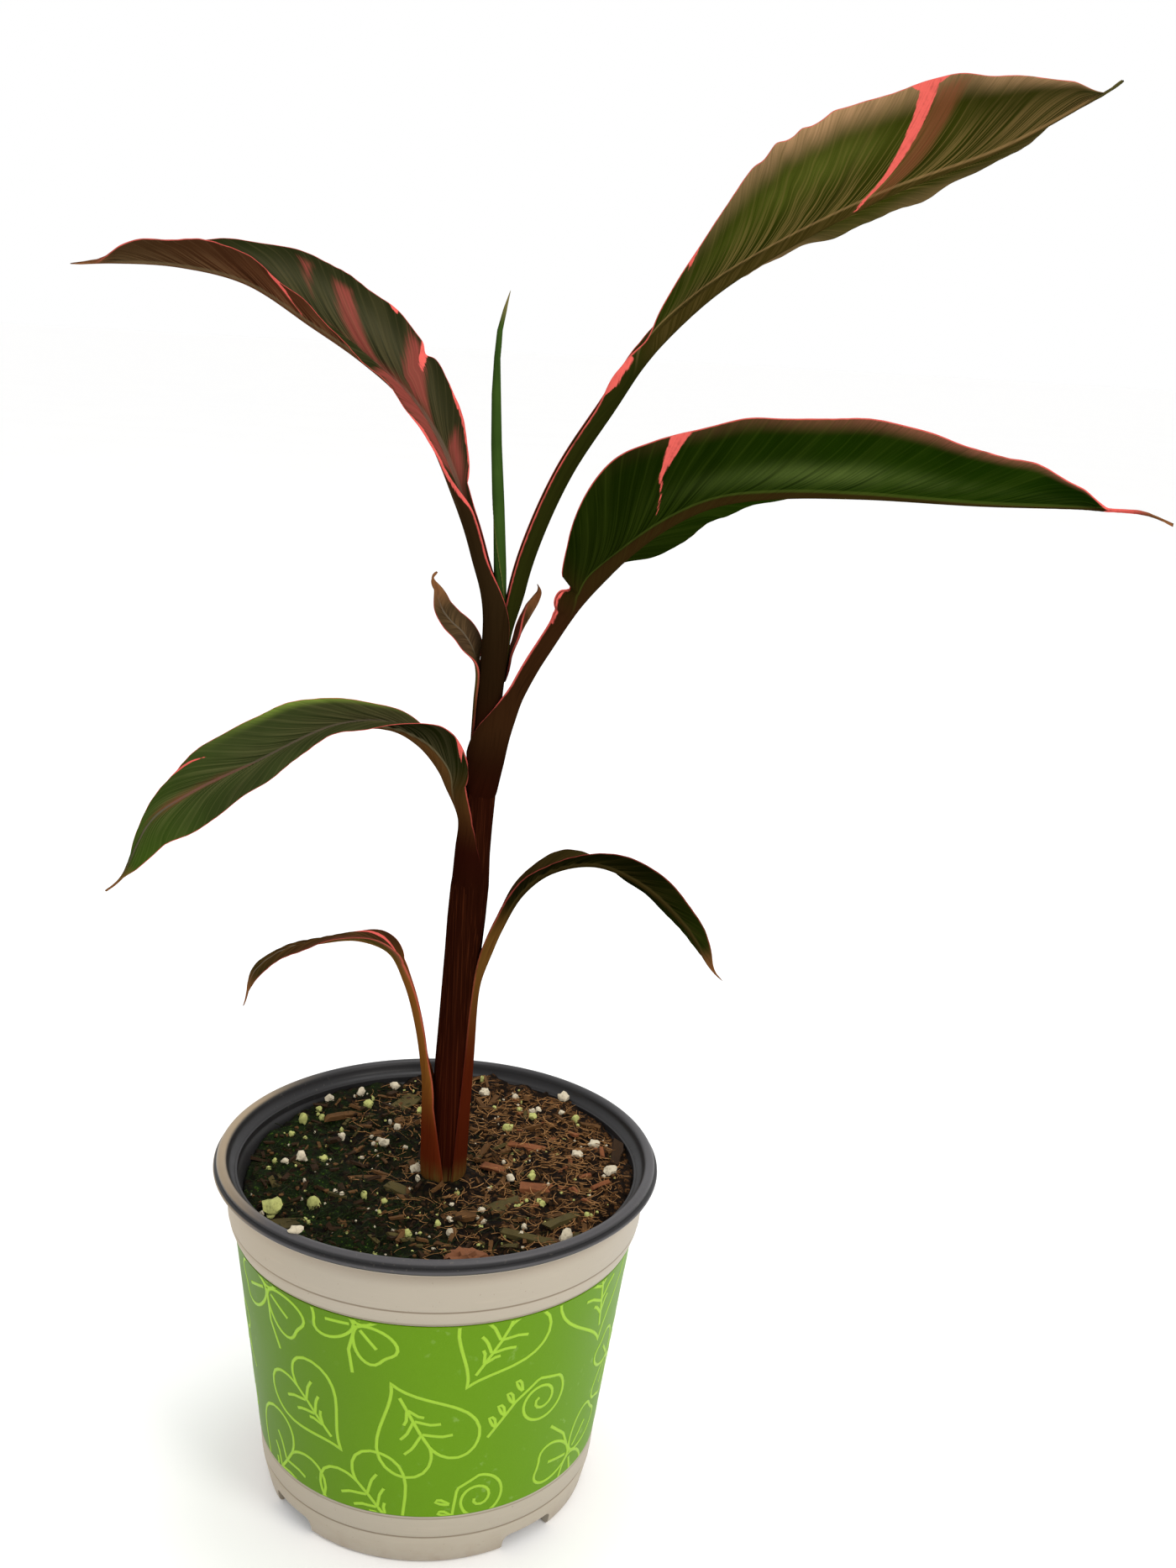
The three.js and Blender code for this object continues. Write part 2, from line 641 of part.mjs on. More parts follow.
// One ring across the leaf: its upper face from near margin to far margin, then its
// lower face back again. The curve runs on the sheath's inner face, and comes to the
// middle of the thickness in the blade.
function leafRing(leaf, path, distance, shares) {
  const { middle, near, upper } = leafFrame(leaf, path, distance);
  const { sheath, petiole, blade } = leaf;
  const start = path.sheathLength + blade.start;
  const eased = smooth(path.sheathLength, path.sheathLength + petiole.ease, distance);
  const spread = smooth(start, start + bladeSpread, distance);
  const slim = smooth(start + bladeSpread, path.length, distance);
  const keelDepth = THREE.MathUtils.lerp(sheath.thickness, petiole.thickness, eased);
  const rib = THREE.MathUtils.lerp(keelDepth, ribBuild * blade.thickness, slim);
  const edge = THREE.MathUtils.lerp(sheath.thickness, petioleMargin, eased);
  const margin = THREE.MathUtils.lerp(edge, blade.thickness, spread);
  const sections = {
    near: halfSection(leaf, path, distance, true),
    far: halfSection(leaf, path, distance, false),
  };
  const keel = (sections.near.ribTurn - sections.far.ribTurn) / 2;
  const upperFace = [];
  const lowerFace = [];
  for (const side of ["near", "far"]) {
    const sign = side === "near" ? 1 : -1;
    const order = side === "near" ? [...shares].reverse() : shares.slice(1);
    for (const share of order) {
      const { out, up, turn } = arcPoint(sections[side], share);
      const tilt = share === 0 ? keel : sign * turn;
      const down = near.clone().multiplyScalar(Math.sin(tilt)).addScaledVector(upper, -Math.cos(tilt));
      const thickness = THREE.MathUtils.lerp(rib, margin, Math.min(1, share / shares[1]));
      const surface = middle.clone().addScaledVector(near, sign * out).addScaledVector(upper, up);
      surface.addScaledVector(down, -0.5 * blade.thickness * spread);
      upperFace.push(surface);
      lowerFace.push(surface.clone().addScaledVector(down, thickness));
    }
  }
  return [...upperFace, ...lowerFace.reverse()];
}

function stretch(leaf, path, from, to, count, shares) {
  const rings = [];
  for (let i = 0; i <= count; i += 1) {
    rings.push(leafRing(leaf, path, THREE.MathUtils.lerp(from, to, i / count), shares));
  }
  return loft(rings);
}

function addLeaf(leaf) {
  const path = leafPath(leaf);
  const start = path.sheathLength + leaf.blade.start;
  const middle = THREE.MathUtils.lerp(start, path.length, bladeSplit);
  const petiole = stretch(leaf, path, 0, start - seam, steps.petiole, sheathShares);
  const inner = stretch(leaf, path, start, middle - seam, steps.bladeInner, bladeShares);
  const outer = stretch(leaf, path, middle, path.length, steps.bladeOuter, bladeShares);
  add(`${leaf.name}_petiole`, petiole, paints.petioleBrown);
  add(`${leaf.name}_blade_inner`, inner, paints.leafGreen);
  add(`${leaf.name}_blade_outer`, outer, paints.leafGreen);
}

function addSmallLeaf(leaf) {
  const path = leafPath(leaf);
  add(leaf.name, stretch(leaf, path, 0, path.length, steps.smallLeaf, bladeShares), paints.petioleBrown);
}

function addSpear() {
  const rings = spear.map(([height, x, radius]) => (
    roundRing(new THREE.Vector3(x, stemStart.y, height), radius, spearSides)));
  add("rolled_leaf", loft(rings), paints.leafGreen);
}

addPot();
addLiner();
addSleeve();
addSoil();
addStem();
leaves.forEach(addLeaf);
smallLeaves.forEach(addSmallLeaf);
addSpear();

export default plant;
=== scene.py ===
"""A young pink-marked banana plant in a round nursery pot: its looks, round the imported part."""

import math
import random

import bmesh
import bpy
import numpy as np
from bpy.props import FloatProperty, FloatVectorProperty, IntProperty, PointerProperty
from mathutils import Matrix, Vector, noise


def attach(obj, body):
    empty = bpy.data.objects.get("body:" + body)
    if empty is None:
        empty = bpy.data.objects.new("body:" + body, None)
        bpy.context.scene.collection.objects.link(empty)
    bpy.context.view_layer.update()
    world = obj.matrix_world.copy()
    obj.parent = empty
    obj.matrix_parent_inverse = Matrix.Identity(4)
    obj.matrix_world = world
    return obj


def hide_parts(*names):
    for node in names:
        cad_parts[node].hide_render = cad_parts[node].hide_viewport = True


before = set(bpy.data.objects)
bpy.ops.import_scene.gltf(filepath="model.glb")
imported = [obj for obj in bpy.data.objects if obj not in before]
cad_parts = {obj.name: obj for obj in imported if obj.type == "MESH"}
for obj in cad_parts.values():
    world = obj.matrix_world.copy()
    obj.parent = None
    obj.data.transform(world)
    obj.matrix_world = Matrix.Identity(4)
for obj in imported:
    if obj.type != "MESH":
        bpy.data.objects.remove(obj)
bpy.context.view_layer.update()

bl_info = {
    "name": "Potted banana plant",
    "version": (1, 0, 0),
    "blender": (4, 5, 0),
    "location": "3D View > Sidebar > Banana plant",
    "description": "Builds a young banana plant with pink-marked leaves in its nursery pot",
    "category": "Object",
}

# Lengths below are millimetres, and become metres as they go into a mesh.
# "Near" is the side of the plant towards -Y, "far" the side towards +Y.
MM = 0.001
TURN = 2 * math.pi
NEAR, FAR = 0, 1

# Where the stem comes out of the soil, and how high the sheaths' feet stand
STEM_X, STEM_Y, SOIL_LEVEL = 2, 1, 110
STEM_FOOT = 110.3

# The printed sleeve's lower and upper end, and the mean radius and line width of its drawing
SLEEVE_ENDS = (20.25, 96.25)
PRINT_RADIUS = 64
PRINT_LINE = 1.25

# What lies on the soil: how much is scattered, the kinds of chips, and a turn about the vertical
CHIP_COUNT, GRIT_COUNT, FIBRE_COUNT, GRAIN_COUNT = 560, 700, 2500, 230
DARK, BROWN, RED, OLIVE, STONE = range(5)
ANY_TURN = 6.3


def srgb(red, green, blue):
    """A colour read off as 0 to 255, as the linear values that a shader takes."""
    shares = [value / 255 for value in (red, green, blue)]
    return tuple(s / 12.92 if s <= 0.04045 else ((s + 0.055) / 1.055) ** 2.4 for s in shares)


def length(label, text, default):
    """A length that the sidebar shows."""
    return FloatProperty(name=label, description=text, default=default * MM, min=0, unit="LENGTH",
                         subtype="DISTANCE", precision=4)


def colour(label, text, red, green, blue):
    """A colour that the sidebar shows."""
    return FloatVectorProperty(name=label, description=text, default=srgb(red, green, blue), min=0, max=1,
                               size=3, subtype="COLOR")


# Sizes and colours


class PotSettings(bpy.types.PropertyGroup):
    base_radius: length("Base radius", "Radius of the wall at the ground", 56.6)
    sides: IntProperty(name="Sides", description="Steps of every turned piece", default=192, min=24)
    shell: colour("Shell", "Pale plastic of the outer wall", 170, 160, 144)
    rim: colour("Rim", "Dark plastic of the rim and the inner layer", 33, 32, 33)
    sleeve: colour("Sleeve", "Ground of the printed sleeve", 88, 130, 0)
    print: colour("Print", "Line drawing on the sleeve", 146, 186, 52)


class SoilSettings(bpy.types.PropertyGroup):
    earth: colour("Earth", "Dark compost", 32, 20, 9)
    moss: colour("Moss", "Green growth on the shaded half", 18, 32, 6)
    bark: colour("Bark", "Brown bark chips", 96, 66, 36)
    perlite: colour("Perlite", "White grains", 206, 194, 168)


class PlantSettings(bpy.types.PropertyGroup):
    lamina: length("Lamina", "Thickness of a leaf blade between its veins", 0.55)
    vein_step: length("Vein step", "Distance between two side veins", 4.4)
    pleat: length("Pleat", "Depth of the soft pleats along the side veins", 0.3)
    stem: colour("Stem", "Dark red-brown of the stem", 32, 10, 4)
    pink: colour("Pink", "Bright streaks on the blades and the leaf margins", 218, 94, 86)
    dull_pink: colour("Dull pink", "Where a streak fades into green", 146, 66, 60)


class Leaf:
    """A leaf's measures and colours. A pair of values is for the near half, then the far half."""

    marks = faded = sheen_bands = gleams = ()
    flare = ((), ())
    rib = dull = None
    rib_half = 1.5
    edge = 0.34
    edge_strength = 0.8
    gleam = (104, 116, 62)
    tip = (142, 92, 56)

    def __init__(self, name, bearing, **traits):
        self.name = name
        self.bearing = bearing
        for trait, value in traits.items():
            setattr(self, trait, value)

    def lay_out(self):
        """Finds the leaf's curve, its directions and its lengths."""
        turn = math.radians(self.bearing)
        out = np.array([math.cos(turn), math.sin(turn), 0])
        rise = np.linspace(0, 1, 4)
        points = stem_axis(mixed(self.foot, self.top, rise)) + out * mixed(*self.radius, rise)[:, None]
        root = stem_axis(self.top)
        route = [(root[0] + out[0] * reach, root[1] + out[1] * reach, height) for reach, height in self.route]
        self.curve = curve_through([*points, *route])
        self.lengths = arc_lengths(self.curve)
        self.length = self.lengths[-1]
        self.sheath = arc_lengths(curve_through(points))[-1]
        self.start = self.sheath + self.stalk_length
        near = np.array([out[1], -out[0], 0])
        self.near = near if near[1] < 0 else -near
        self.sign = 1 if out[0] > 0 else -1


# Leaves: the same curves and folds as the solids, with the finer outline, the veins and the
# marks that only the looks have. The sheath runs from foot to top and wraps round the stem.
# The route gives the rib's reach out from the stem and its height from there on.
#
# Along the blade, at even steps: fold, each half's turn in degrees, and trim, a factor on its
# width. A flare adds to the width: how much, how far before the blade's start, and its spread.
# The veins sweep forward towards the margin.
#
# A mark is a pink streak along the veins: side, where it meets the rib and the margin, the
# shares of the half's width that it runs between, and its half width at both ends. A faded
# mark is the same in a dull tone. A band of painted sheen grows from one share of the width to
# another, and a gleam is a painted highlight that pales the width round a share, each with its
# strength at even steps.
#
# Colours are for the upper and the lower face at the start, middle and end of the blade, and
# for the stalk, the sheath's skin, the painted sheen, the veins (with their weight) and the rib.
LEAVES = [
    Leaf("leaf_1", 191, foot=STEM_FOOT, top=140, radius=[6.9, 8.4], sheath_depth=1.1,
         wrap=([88, 45], [95, 60]),
         route=[(8.6, 150), (11.2, 168), (15.6, 184), (21.4, 195), (32.2, 199.6), (44.6, 198.6),
             (56.8, 195.5), (66, 188), (69.5, 176)],
         stalk_half=2.6, stalk_turn=(65, 75), ease=18, stalk_depth=1.5, stalk_length=52, half=(6, 6),
         widest=0.4, filament=2,
         fullness=([0.7, 0.7], [0.7, 0.7]), sweep=(12, 12), wave=0.35,
         fold=([35, 20, 18, 15, -15, -25, -25], [70, 30, -12, -17, -10, 0, 0]),
         trim=([1, 1.7, 1.9, 1.35, 0.9, 1, 1], [1, 1.9, 2.1, 1.4, 0.9, 1, 1]),
         marks=[(FAR, -2, 8, 0.15, 1.0, 1.4, 3.0)],
         sheen_bands=[(NEAR, 0.4, 1.0, [0.6, 0.3, 0, 0])],
         upper=[(66, 40, 24), (72, 50, 28), (64, 56, 26)], lower=[(92, 78, 34), (74, 62, 26), (48, 30, 17)],
         stalk=(124, 78, 30), skin=(100, 38, 15), painted_sheen=(150, 84, 70), veins=((110, 84, 48), 0.25),
         rib_half=0.8, edge_strength=0.4),
    Leaf("leaf_2", -12, foot=STEM_FOOT, top=180, radius=[6.9, 5.8], sheath_depth=0.9,
         wrap=([53, 30], [60, 35]),
         route=[(7.7, 191), (12, 204), (19.2, 218), (29.3, 227), (44.5, 231), (60.5, 225.5), (75.5, 213),
             (84, 201), (88.5, 196.5)],
         stalk_half=3, stalk_turn=(70, 70), ease=18, stalk_depth=2, stalk_length=30, half=(7, 6.5),
         widest=0.55, filament=3,
         fullness=([0.8, 0.8], [0.8, 0.8]), sweep=(14, 14), wave=0.4,
         fold=([40, 25, 20, 45, 75, 85, 90], [60, 35, 15, -25, -40, -40, -20]),
         trim=([1, 1.45, 1.4, 1.15, 1, 1], [1, 2, 1.9, 1.35, 1, 1]),
         upper=[(58, 42, 20), (52, 46, 20), (58, 66, 24)], lower=[(22, 21, 5), (20, 22, 4), (36, 46, 9)],
         stalk=(100, 68, 28), skin=(80, 28, 11), painted_sheen=(120, 70, 52), veins=((72, 60, 30), 0.2),
         rib=(42, 32, 10), rib_half=1, edge_strength=0.25),
    Leaf("leaf_3", 189, foot=212.8, top=240, radius=[5.2, 5.2], sheath_depth=1, wrap=([168, 70], [160, 80]),
         route=[(8, 251), (11, 258), (18.6, 267), (28.7, 272), (46, 271), (71.5, 258.5), (91, 248.5),
             (103.8, 239), (113.5, 220), (118.5, 215)],
         stalk_half=5, stalk_turn=(85, 80), ease=16, stalk_depth=2.6, stalk_length=12, half=(17, 15),
         widest=0.48, filament=5,
         fullness=([0.7, 0.9], [2.4, 1.2]), sweep=(36, 36), wave=0.6,
         fold=([56, 66, 12, 3, -6, -20, -38, -42, -30], [80, 50, 40, 42, 45, 45, 40, 25, 20]),
         trim=([1, 1, 1, 1.02, 1.08, 1.14, 1.2, 1.2, 1.1],
             [1, 0.6, 0.62, 0.95, 1.07, 1.12, 1.05, 0.66, 0.5]),
         marks=[(FAR, 61, 66, 0.68, 1.02, 0.5, 1.7), (NEAR, -24, -24, 0.8, 1.02, 1.2, 2.2)],
         faded=[(FAR, 86, 86, -0.1, 0.08, 14, 14), (NEAR, 86, 86, -0.1, 0.05, 14, 14)],
         sheen_bands=[(FAR, 0.72, 1, [0, 0, 0.7, 1, 0.3, 0, 0, 0])],
         upper=[(72, 66, 42), (62, 72, 38), (70, 96, 30)], lower=[(26, 30, 6), (28, 30, 8), (40, 52, 14)],
         stalk=(80, 52, 24), skin=(40, 12, 6), painted_sheen=(112, 132, 52), veins=((120, 108, 80), 0.26)),
    Leaf("leaf_4", -8, foot=246.6, top=262, radius=[4, 5.8], sheath_depth=1, wrap=([165, 155], [150, 130]),
         route=[(7.3, 273), (9.2, 283), (12.9, 291.5), (17.6, 300), (27.5, 316), (40.5, 330), (54.5, 341.5),
             (69, 349), (87, 352.5), (112, 354), (148, 354), (184, 355), (196, 354.5), (204, 352)],
         stalk_half=4, stalk_turn=(75, 80), ease=26, stalk_depth=3, stalk_length=61, half=(23.5, 25),
         widest=0.35, filament=20,
         fullness=([0.3, 0.65], [0.8, 0.9]), sweep=(34, 34), wave=0.9,
         fold=([100, 95, 88, 80, 75, 70, 60], [20, -16, -12, -4, 0, 0, 0]),
         trim=([0.5, 0.85, 1.05, 1.13, 1.05, 0.96, 1, 1, 1, 1.07, 1.1, 1.06, 1.05, 1.08, 1.14, 1.05, 1],
             [1, 1.35, 1.25, 1.05, 1, 1, 1, 1, 1]),
         flare=([(3.4, 5, 4.5), (-1.4, 1, 1), (-0.9, 8, 0.8)], ()),
         marks=[(NEAR, 14.5, 14.5, 0.5, 1.02, 0.5, 2.6), (NEAR, 20, 13.6, 0.12, 0.6, 0.15, 0.55),
             (NEAR, -38, -39, 0.82, 0.93, 5, 6)],
         sheen_bands=[(NEAR, 0.76, 1.04, [0, 0, 0.1, 0.35, 0.6, 0.9, 1, 0.9, 0.6, 0.4])],
         gleams=[(NEAR, 0.26, 0.13, [0, 0, 0.3, 0.9, 0.8, 0.3, 0, 0])], gleam=(92, 108, 52),
         upper=[(50, 44, 14), (48, 46, 16), (38, 46, 12)], lower=[(22, 32, 3), (28, 50, 3), (15, 36, 2)],
         stalk=(50, 29, 13), skin=(36, 20, 8), painted_sheen=(138, 84, 66), veins=((72, 84, 30), 0.14),
         rib=(46, 29, 11), edge=0.5, edge_strength=1),
    Leaf("leaf_5", 184, foot=262.3, top=304, radius=[2.8, 4.6], sheath_depth=0.9,
         wrap=([172, 130], [150, 100]),
         route=[(5, 318), (8.8, 333), (13.8, 346), (21.9, 363), (31, 375), (45, 386), (60, 395), (80, 406),
             (100, 409.5), (119, 409.3), (132, 408)],
         stalk_half=4, stalk_turn=(60, 80), ease=24, stalk_depth=3, stalk_length=46, half=(21, 21),
         widest=0.5, filament=8,
         fullness=([1.3, 0.8], [0.8, 0.8]), sweep=(18, 38), wave=0.8,
         fold=([-30, -15, 3, 17, 38, 52], [60, 57, 50, 45, 47, 55]),
         trim=([1, 1, 1, 1, 0.97, 0.97, 0.97, 1, 1], [1, 0.88, 1, 1.1, 1.14, 1, 0.8, 0.6, 0.6]),
         flare=((), [(-2.2, -36, 1.7)]),
         marks=[(FAR, -25, -25, 0.9, 1.02, 10, 16), (FAR, 5, -1, 0.55, 1.02, 0.4, 2),
             (FAR, 13, 13, 0.93, 1.02, 0.8, 2), (NEAR, -8, -8, 0.86, 1.02, 12, 20),
             (NEAR, 66, 63.5, 0.05, 1.02, 0.4, 2.4)],
         faded=[(FAR, 50, 45, 0.3, 0.8, 0.2, 1.2), (FAR, 38, 33, 0.0, 0.75, 5, 3),
             (FAR, 14, 4, 0.0, 0.9, 7, 2.6), (FAR, -18, -26, 0, 0.8, 18, 8), (NEAR, 14, 8, 0, 1.02, 20, 18),
             (FAR, 30, 30, -0.1, 0.1, 34, 34)],
         gleams=[(FAR, 0.4, 0.3, [0, 0.3, 0.5, 0.6, 0.4, 0.3, 0])], gleam=(92, 88, 66),
         upper=[(46, 45, 26), (44, 48, 24), (32, 38, 12)], lower=[(64, 38, 20), (86, 48, 30), (66, 49, 30)],
         stalk=(44, 31, 15), skin=(36, 22, 9), painted_sheen=(120, 92, 76), veins=((112, 98, 70), 0.34),
         rib=(84, 56, 34)),
    Leaf("leaf_6", 7, foot=262.3, top=300, radius=[1.6, 3], sheath_depth=0.8, wrap=([120, 95], [120, 90]),
         route=[(5.2, 318), (9.6, 334), (18.3, 355), (30.3, 375), (41, 392), (57, 408.5), (75, 421.5),
             (111, 442), (148, 458.5), (177, 476), (183, 480)],
         stalk_half=4, stalk_turn=(80, 85), ease=18, stalk_depth=3, stalk_length=102, half=(29, 26.5),
         widest=0.56, filament=7,
         fullness=([1.15, 0.75], [1, 1]), sweep=(44, 44), wave=0.9,
         fold=([110, 95, 85, 80, 80, 78, 75], [60, 0, -10, -15, -15, -12, 0]),
         trim=([0.8, 0.8, 0.85, 0.95, 1.03, 1.08, 1.09, 1.02, 0.99, 0.96, 0.95, 0.99, 1.03, 1, 1, 0.95, 1],
             [1, 1.3, 1.3, 1.12, 1, 1, 1, 1, 1]),
         flare=([(2.6, 13, 7), (-2.2, -2, 7), (-0.7, -57, 2), (1, -62, 2), (0.9, -70, 2), (0.8, -80, 3)],
             ()),
         marks=[(NEAR, 71, 64.5, 0, 1.02, 1, 3.4), (NEAR, 64.5, 64.5, 0.93, 1.02, 3, 8),
             (NEAR, -16, -16, 0.9, 1.02, 1, 3), (NEAR, -48, -57, 0.75, 1.02, 5, 8)],
         faded=[(NEAR, 76, 73, 0, 0.95, 5, 5)],
         sheen_bands=[(NEAR, 0.66, 1.04, [0, 0, 0.15, 0.5, 0.9, 1, 0.7, 0.5, 0.7, 0.6, 0.4]),
             (FAR, 0.4, 1.02, [0, 0.25, 0.5, 0.3, 0.1, 0.3, 0.1, 0.1, 0])],
         gleams=[(NEAR, 0.55, 0.22, [0, 0.2, 0.7, 1, 0.8, 0.2, 0, 0, 0])], gleam=(84, 92, 32),
         upper=[(62, 54, 24), (66, 60, 28), (62, 56, 28)], lower=[(38, 52, 4), (52, 58, 9), (46, 44, 15)],
         stalk=(38, 40, 10), skin=(36, 46, 12), painted_sheen=(176, 138, 100), dull=(112, 62, 40),
         veins=((150, 118, 78), 0.5), rib=(52, 42, 14), rib_half=2.2, tip=(84, 82, 44)),
]

# Two withered leaf ends beside the stem's fork
WITHERED = [
    Leaf("leaf_small_left", 181, foot=262.3, top=290, radius=[4.1, 5.3], sheath_depth=0.8,
         wrap=([22, 30], [25, 30]),
         route=[(7, 297), (10.5, 302.5), (14.5, 306), (17.6, 310), (19.2, 315), (20.6, 319.4),
             (19.4, 321.4)],
         stalk_half=3, stalk_turn=(10, 30), ease=10, stalk_depth=0.8, stalk_length=4, half=(3.8, 4.6),
         widest=0.3, filament=1,
         fullness=([0.6, 1], [0.6, 1]), sweep=(4, 4), wave=0.5,
         fold=([-20, -60, -60, -40, -20], [30, 55, 60, 60, 50]),
         trim=([1, 1], [1, 1]),
         upper=[(92, 70, 54), (84, 66, 46), (100, 84, 60)],
         lower=[(66, 52, 28), (68, 56, 32), (78, 68, 42)],
         stalk=(84, 70, 28), skin=(70, 56, 22), painted_sheen=(130, 100, 80), veins=((120, 100, 70), 0.2),
         rib_half=0.3),
    Leaf("leaf_small_right", 24, foot=287, top=296, radius=[3.7, 4.4], sheath_depth=0.8,
         wrap=([22, 22], [22, 22]),
         route=[(6.4, 301), (8.6, 305.5), (10.9, 309.5), (12.9, 313), (13.8, 316), (12.8, 318.6)],
         stalk_half=2, stalk_turn=(20, 20), ease=10, stalk_depth=0.8, stalk_length=4, half=(3.1, 3.1),
         widest=0.5, filament=1,
         fullness=([0.6, 0.6], [0.6, 0.6]), sweep=(3, 3), wave=0.4,
         fold=([20, 20, 60, 100], [20, 20, 30, 50]),
         trim=([1, 1], [1, 1]),
         upper=[(120, 62, 46), (120, 70, 50), (140, 100, 60)],
         lower=[(96, 62, 38), (92, 64, 38), (96, 70, 40)],
         stalk=(92, 66, 36), skin=(84, 62, 34), painted_sheen=(130, 100, 80), veins=((120, 100, 70), 0.2),
         rib_half=0.3),
]

# Large chips: place, length, width, thickness, bearing and kind
LARGE_CHIPS = [
    (-17.5, 48, 19, 7, 1.6, 1.15, OLIVE), (36, -7.5, 15, 5.5, 2, -0.15, RED),
    (62, 14, 14, 4, 2, 1.5, DARK), (44, -30, 15, 3.2, 1.6, 0.9, OLIVE),
    (-46, -35, 13, 6, 1.6, 0.35, OLIVE), (34, -40, 19, 3.6, 2, -0.25, OLIVE),
    (-12, -8, 12, 4.5, 1.6, -0.5, OLIVE), (10, -25, 11, 4, 1.6, 0.2, BROWN),
    (24, -18, 12, 6, 1.5, 0.5, OLIVE), (-38, 38, 14, 3, 1.5, 0.5, BROWN),
    (-24, -2, 12, 3, 1.4, 0.1, BROWN), (-2, 22, 11, 5, 1.5, 1.5, BROWN),
    (30, 20, 13, 3, 1.4, -0.3, RED), (20, 8, 12, 3.5, 1.4, -0.4, RED),
]

# Large white grains: place, size, and 1 for a mossy one
LARGE_GRAINS = [
    (-7.6, 1.6, 4.2, 0), (25.4, -1.1, 3.6, 0), (22.6, 30.2, 3.8, 1), (8.2, -35.9, 3.2, 0), (-52, -28, 7.5, 1),
    (-39.1, -21.5, 5, 1), (42, 52, 5, 0), (-22, 58, 4.2, 0), (-34, 52, 4, 0), (-45, 46, 4.4, 0),
    (-17.7, 30.5, 3.4, 0), (-20.9, 18.2, 3.6, 0), (12, 54, 4.2, 0), (24, 52, 3, 0), (33, 44, 3, 0),
    (60, -2, 4.6, 0), (46, -41, 5, 0), (-48, 4, 4, 0), (-41, 8, 3, 1), (-30, 44, 4.2, 1), (-52, 30, 4, 1),
    (48, 12, 4, 0), (54, 22, 3.6, 0), (31, -38, 2.6, 0), (-6, -38, 3.6, 1),
]

# The rolled leaf: height, distance to the right of the stem's start, and radius
SPEAR = [(262.3, 10.3, 1), (285, 12.1, 1.3), (308, 13.6, 1.9), (323, 12.7, 2.2), (343, 11.5, 2),
         (362, 10.1, 1.8), (377, 9.4, 1.6), (388, 9.2, 1.1), (396, 9.6, 0.9), (403, 11.1, 0.6),
         (408, 12.4, 0.35)]

# The stem inside the leaf sheaths: height and radius
STEM = [(110.3, 6.5), (128, 6.3), (150, 6.0), (172, 5.95), (195, 6.1), (207, 6.35), (218, 6.3), (229, 5.5),
        (238, 5.25), (248, 5.15), (256, 4.6), (262, 3.4)]


# Arithmetic that several pieces share


def smooth(low, high, value):
    share = np.clip((value - low) / (high - low), 0, 1)
    return share * share * (3 - 2 * share)


def mixed(low, high, share):
    return low + (high - low) * share


def through(keys, place):
    """A smooth value through keys that stand at even steps from 0 to 1."""
    keys = np.asarray(keys, float)
    last = len(keys) - 1
    x = np.clip(place, 0, 1) * last
    step = np.minimum(np.floor(x).astype(int), last - 1)
    t = x - step
    ends = np.concatenate([[2 * keys[0] - keys[1]], keys, [2 * keys[-1] - keys[-2]]])
    before, here, there, after = ends[step], ends[step + 1], ends[step + 2], ends[step + 3]
    slope_in = (there - before) / 2
    slope_out = (after - here) / 2
    rise = there - here
    squared = 3 * rise - 2 * slope_in - slope_out
    cubed = slope_in + slope_out - 2 * rise
    return here + slope_in * t + squared * t ** 2 + cubed * t ** 3


def curve_through(points, steps=160):
    """Close points on the smooth curve that runs evenly through the given ones."""
    points = [np.asarray(point, float) for point in points]
    path = [2 * points[0] - points[1], *points, 2 * points[-1] - points[-2]]
    t = np.linspace(0, 1, steps, endpoint=False)[:, None]
    found = []
    for a, b, c, d in zip(path, path[1:], path[2:], path[3:]):
        before, here, after = (math.sqrt(np.linalg.norm(q - p)) for p, q in ((a, b), (b, c), (c, d)))
        slope_in = ((b - a) / before - (c - a) / (before + here) + (c - b) / here) * here
        slope_out = ((c - b) / here - (d - b) / (here + after) + (d - c) / after) * here
        squared = 3 * (c - b) - 2 * slope_in - slope_out
        cubed = 2 * (b - c) + slope_in + slope_out
        found.append(b + slope_in * t + squared * t ** 2 + cubed * t ** 3)
    found.append(points[-1][None])
    return np.concatenate(found)


def arc_lengths(points):
    return np.concatenate([[0], np.cumsum(np.linalg.norm(np.diff(points, axis=0), axis=1))])


def stem_axis(height):
    """The middle of the leaning stem at a height."""
    rise = np.asarray(height, float) - SOIL_LEVEL
    x = STEM_X + 0.036 * rise + 0.00012 * rise ** 2
    return np.stack([x, np.full_like(x, STEM_Y), rise + SOIL_LEVEL], axis=-1)


def unit(vectors):
    return vectors / np.linalg.norm(vectors, axis=-1, keepdims=True)


# Meshes


def as_mesh(name, bm):
    mesh = bpy.data.meshes.new(name)
    bm.to_mesh(mesh)
    bm.free()
    return mesh


def placed(name, data):
    """A new object in the scene."""
    made = bpy.data.objects.new(name, data)
    bpy.context.scene.collection.objects.link(made)
    return made


def piece(name, bm, finishes, sharp=None):
    """A finished piece on the body, from a bmesh in metres."""
    mesh = as_mesh(name, bm)
    for finish in finishes:
        mesh.materials.append(finish.material)
    mesh.shade_smooth()
    if sharp is not None:
        mesh.set_sharp_from_angle(angle=math.radians(sharp))
    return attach(placed(name, mesh), "root")


def close(bm, gap=2e-6):
    """Seams and poles are merged, and faces turned outwards."""
    bmesh.ops.remove_doubles(bm, verts=bm.verts[:], dist=gap)
    bmesh.ops.recalc_face_normals(bm, faces=bm.faces[:])


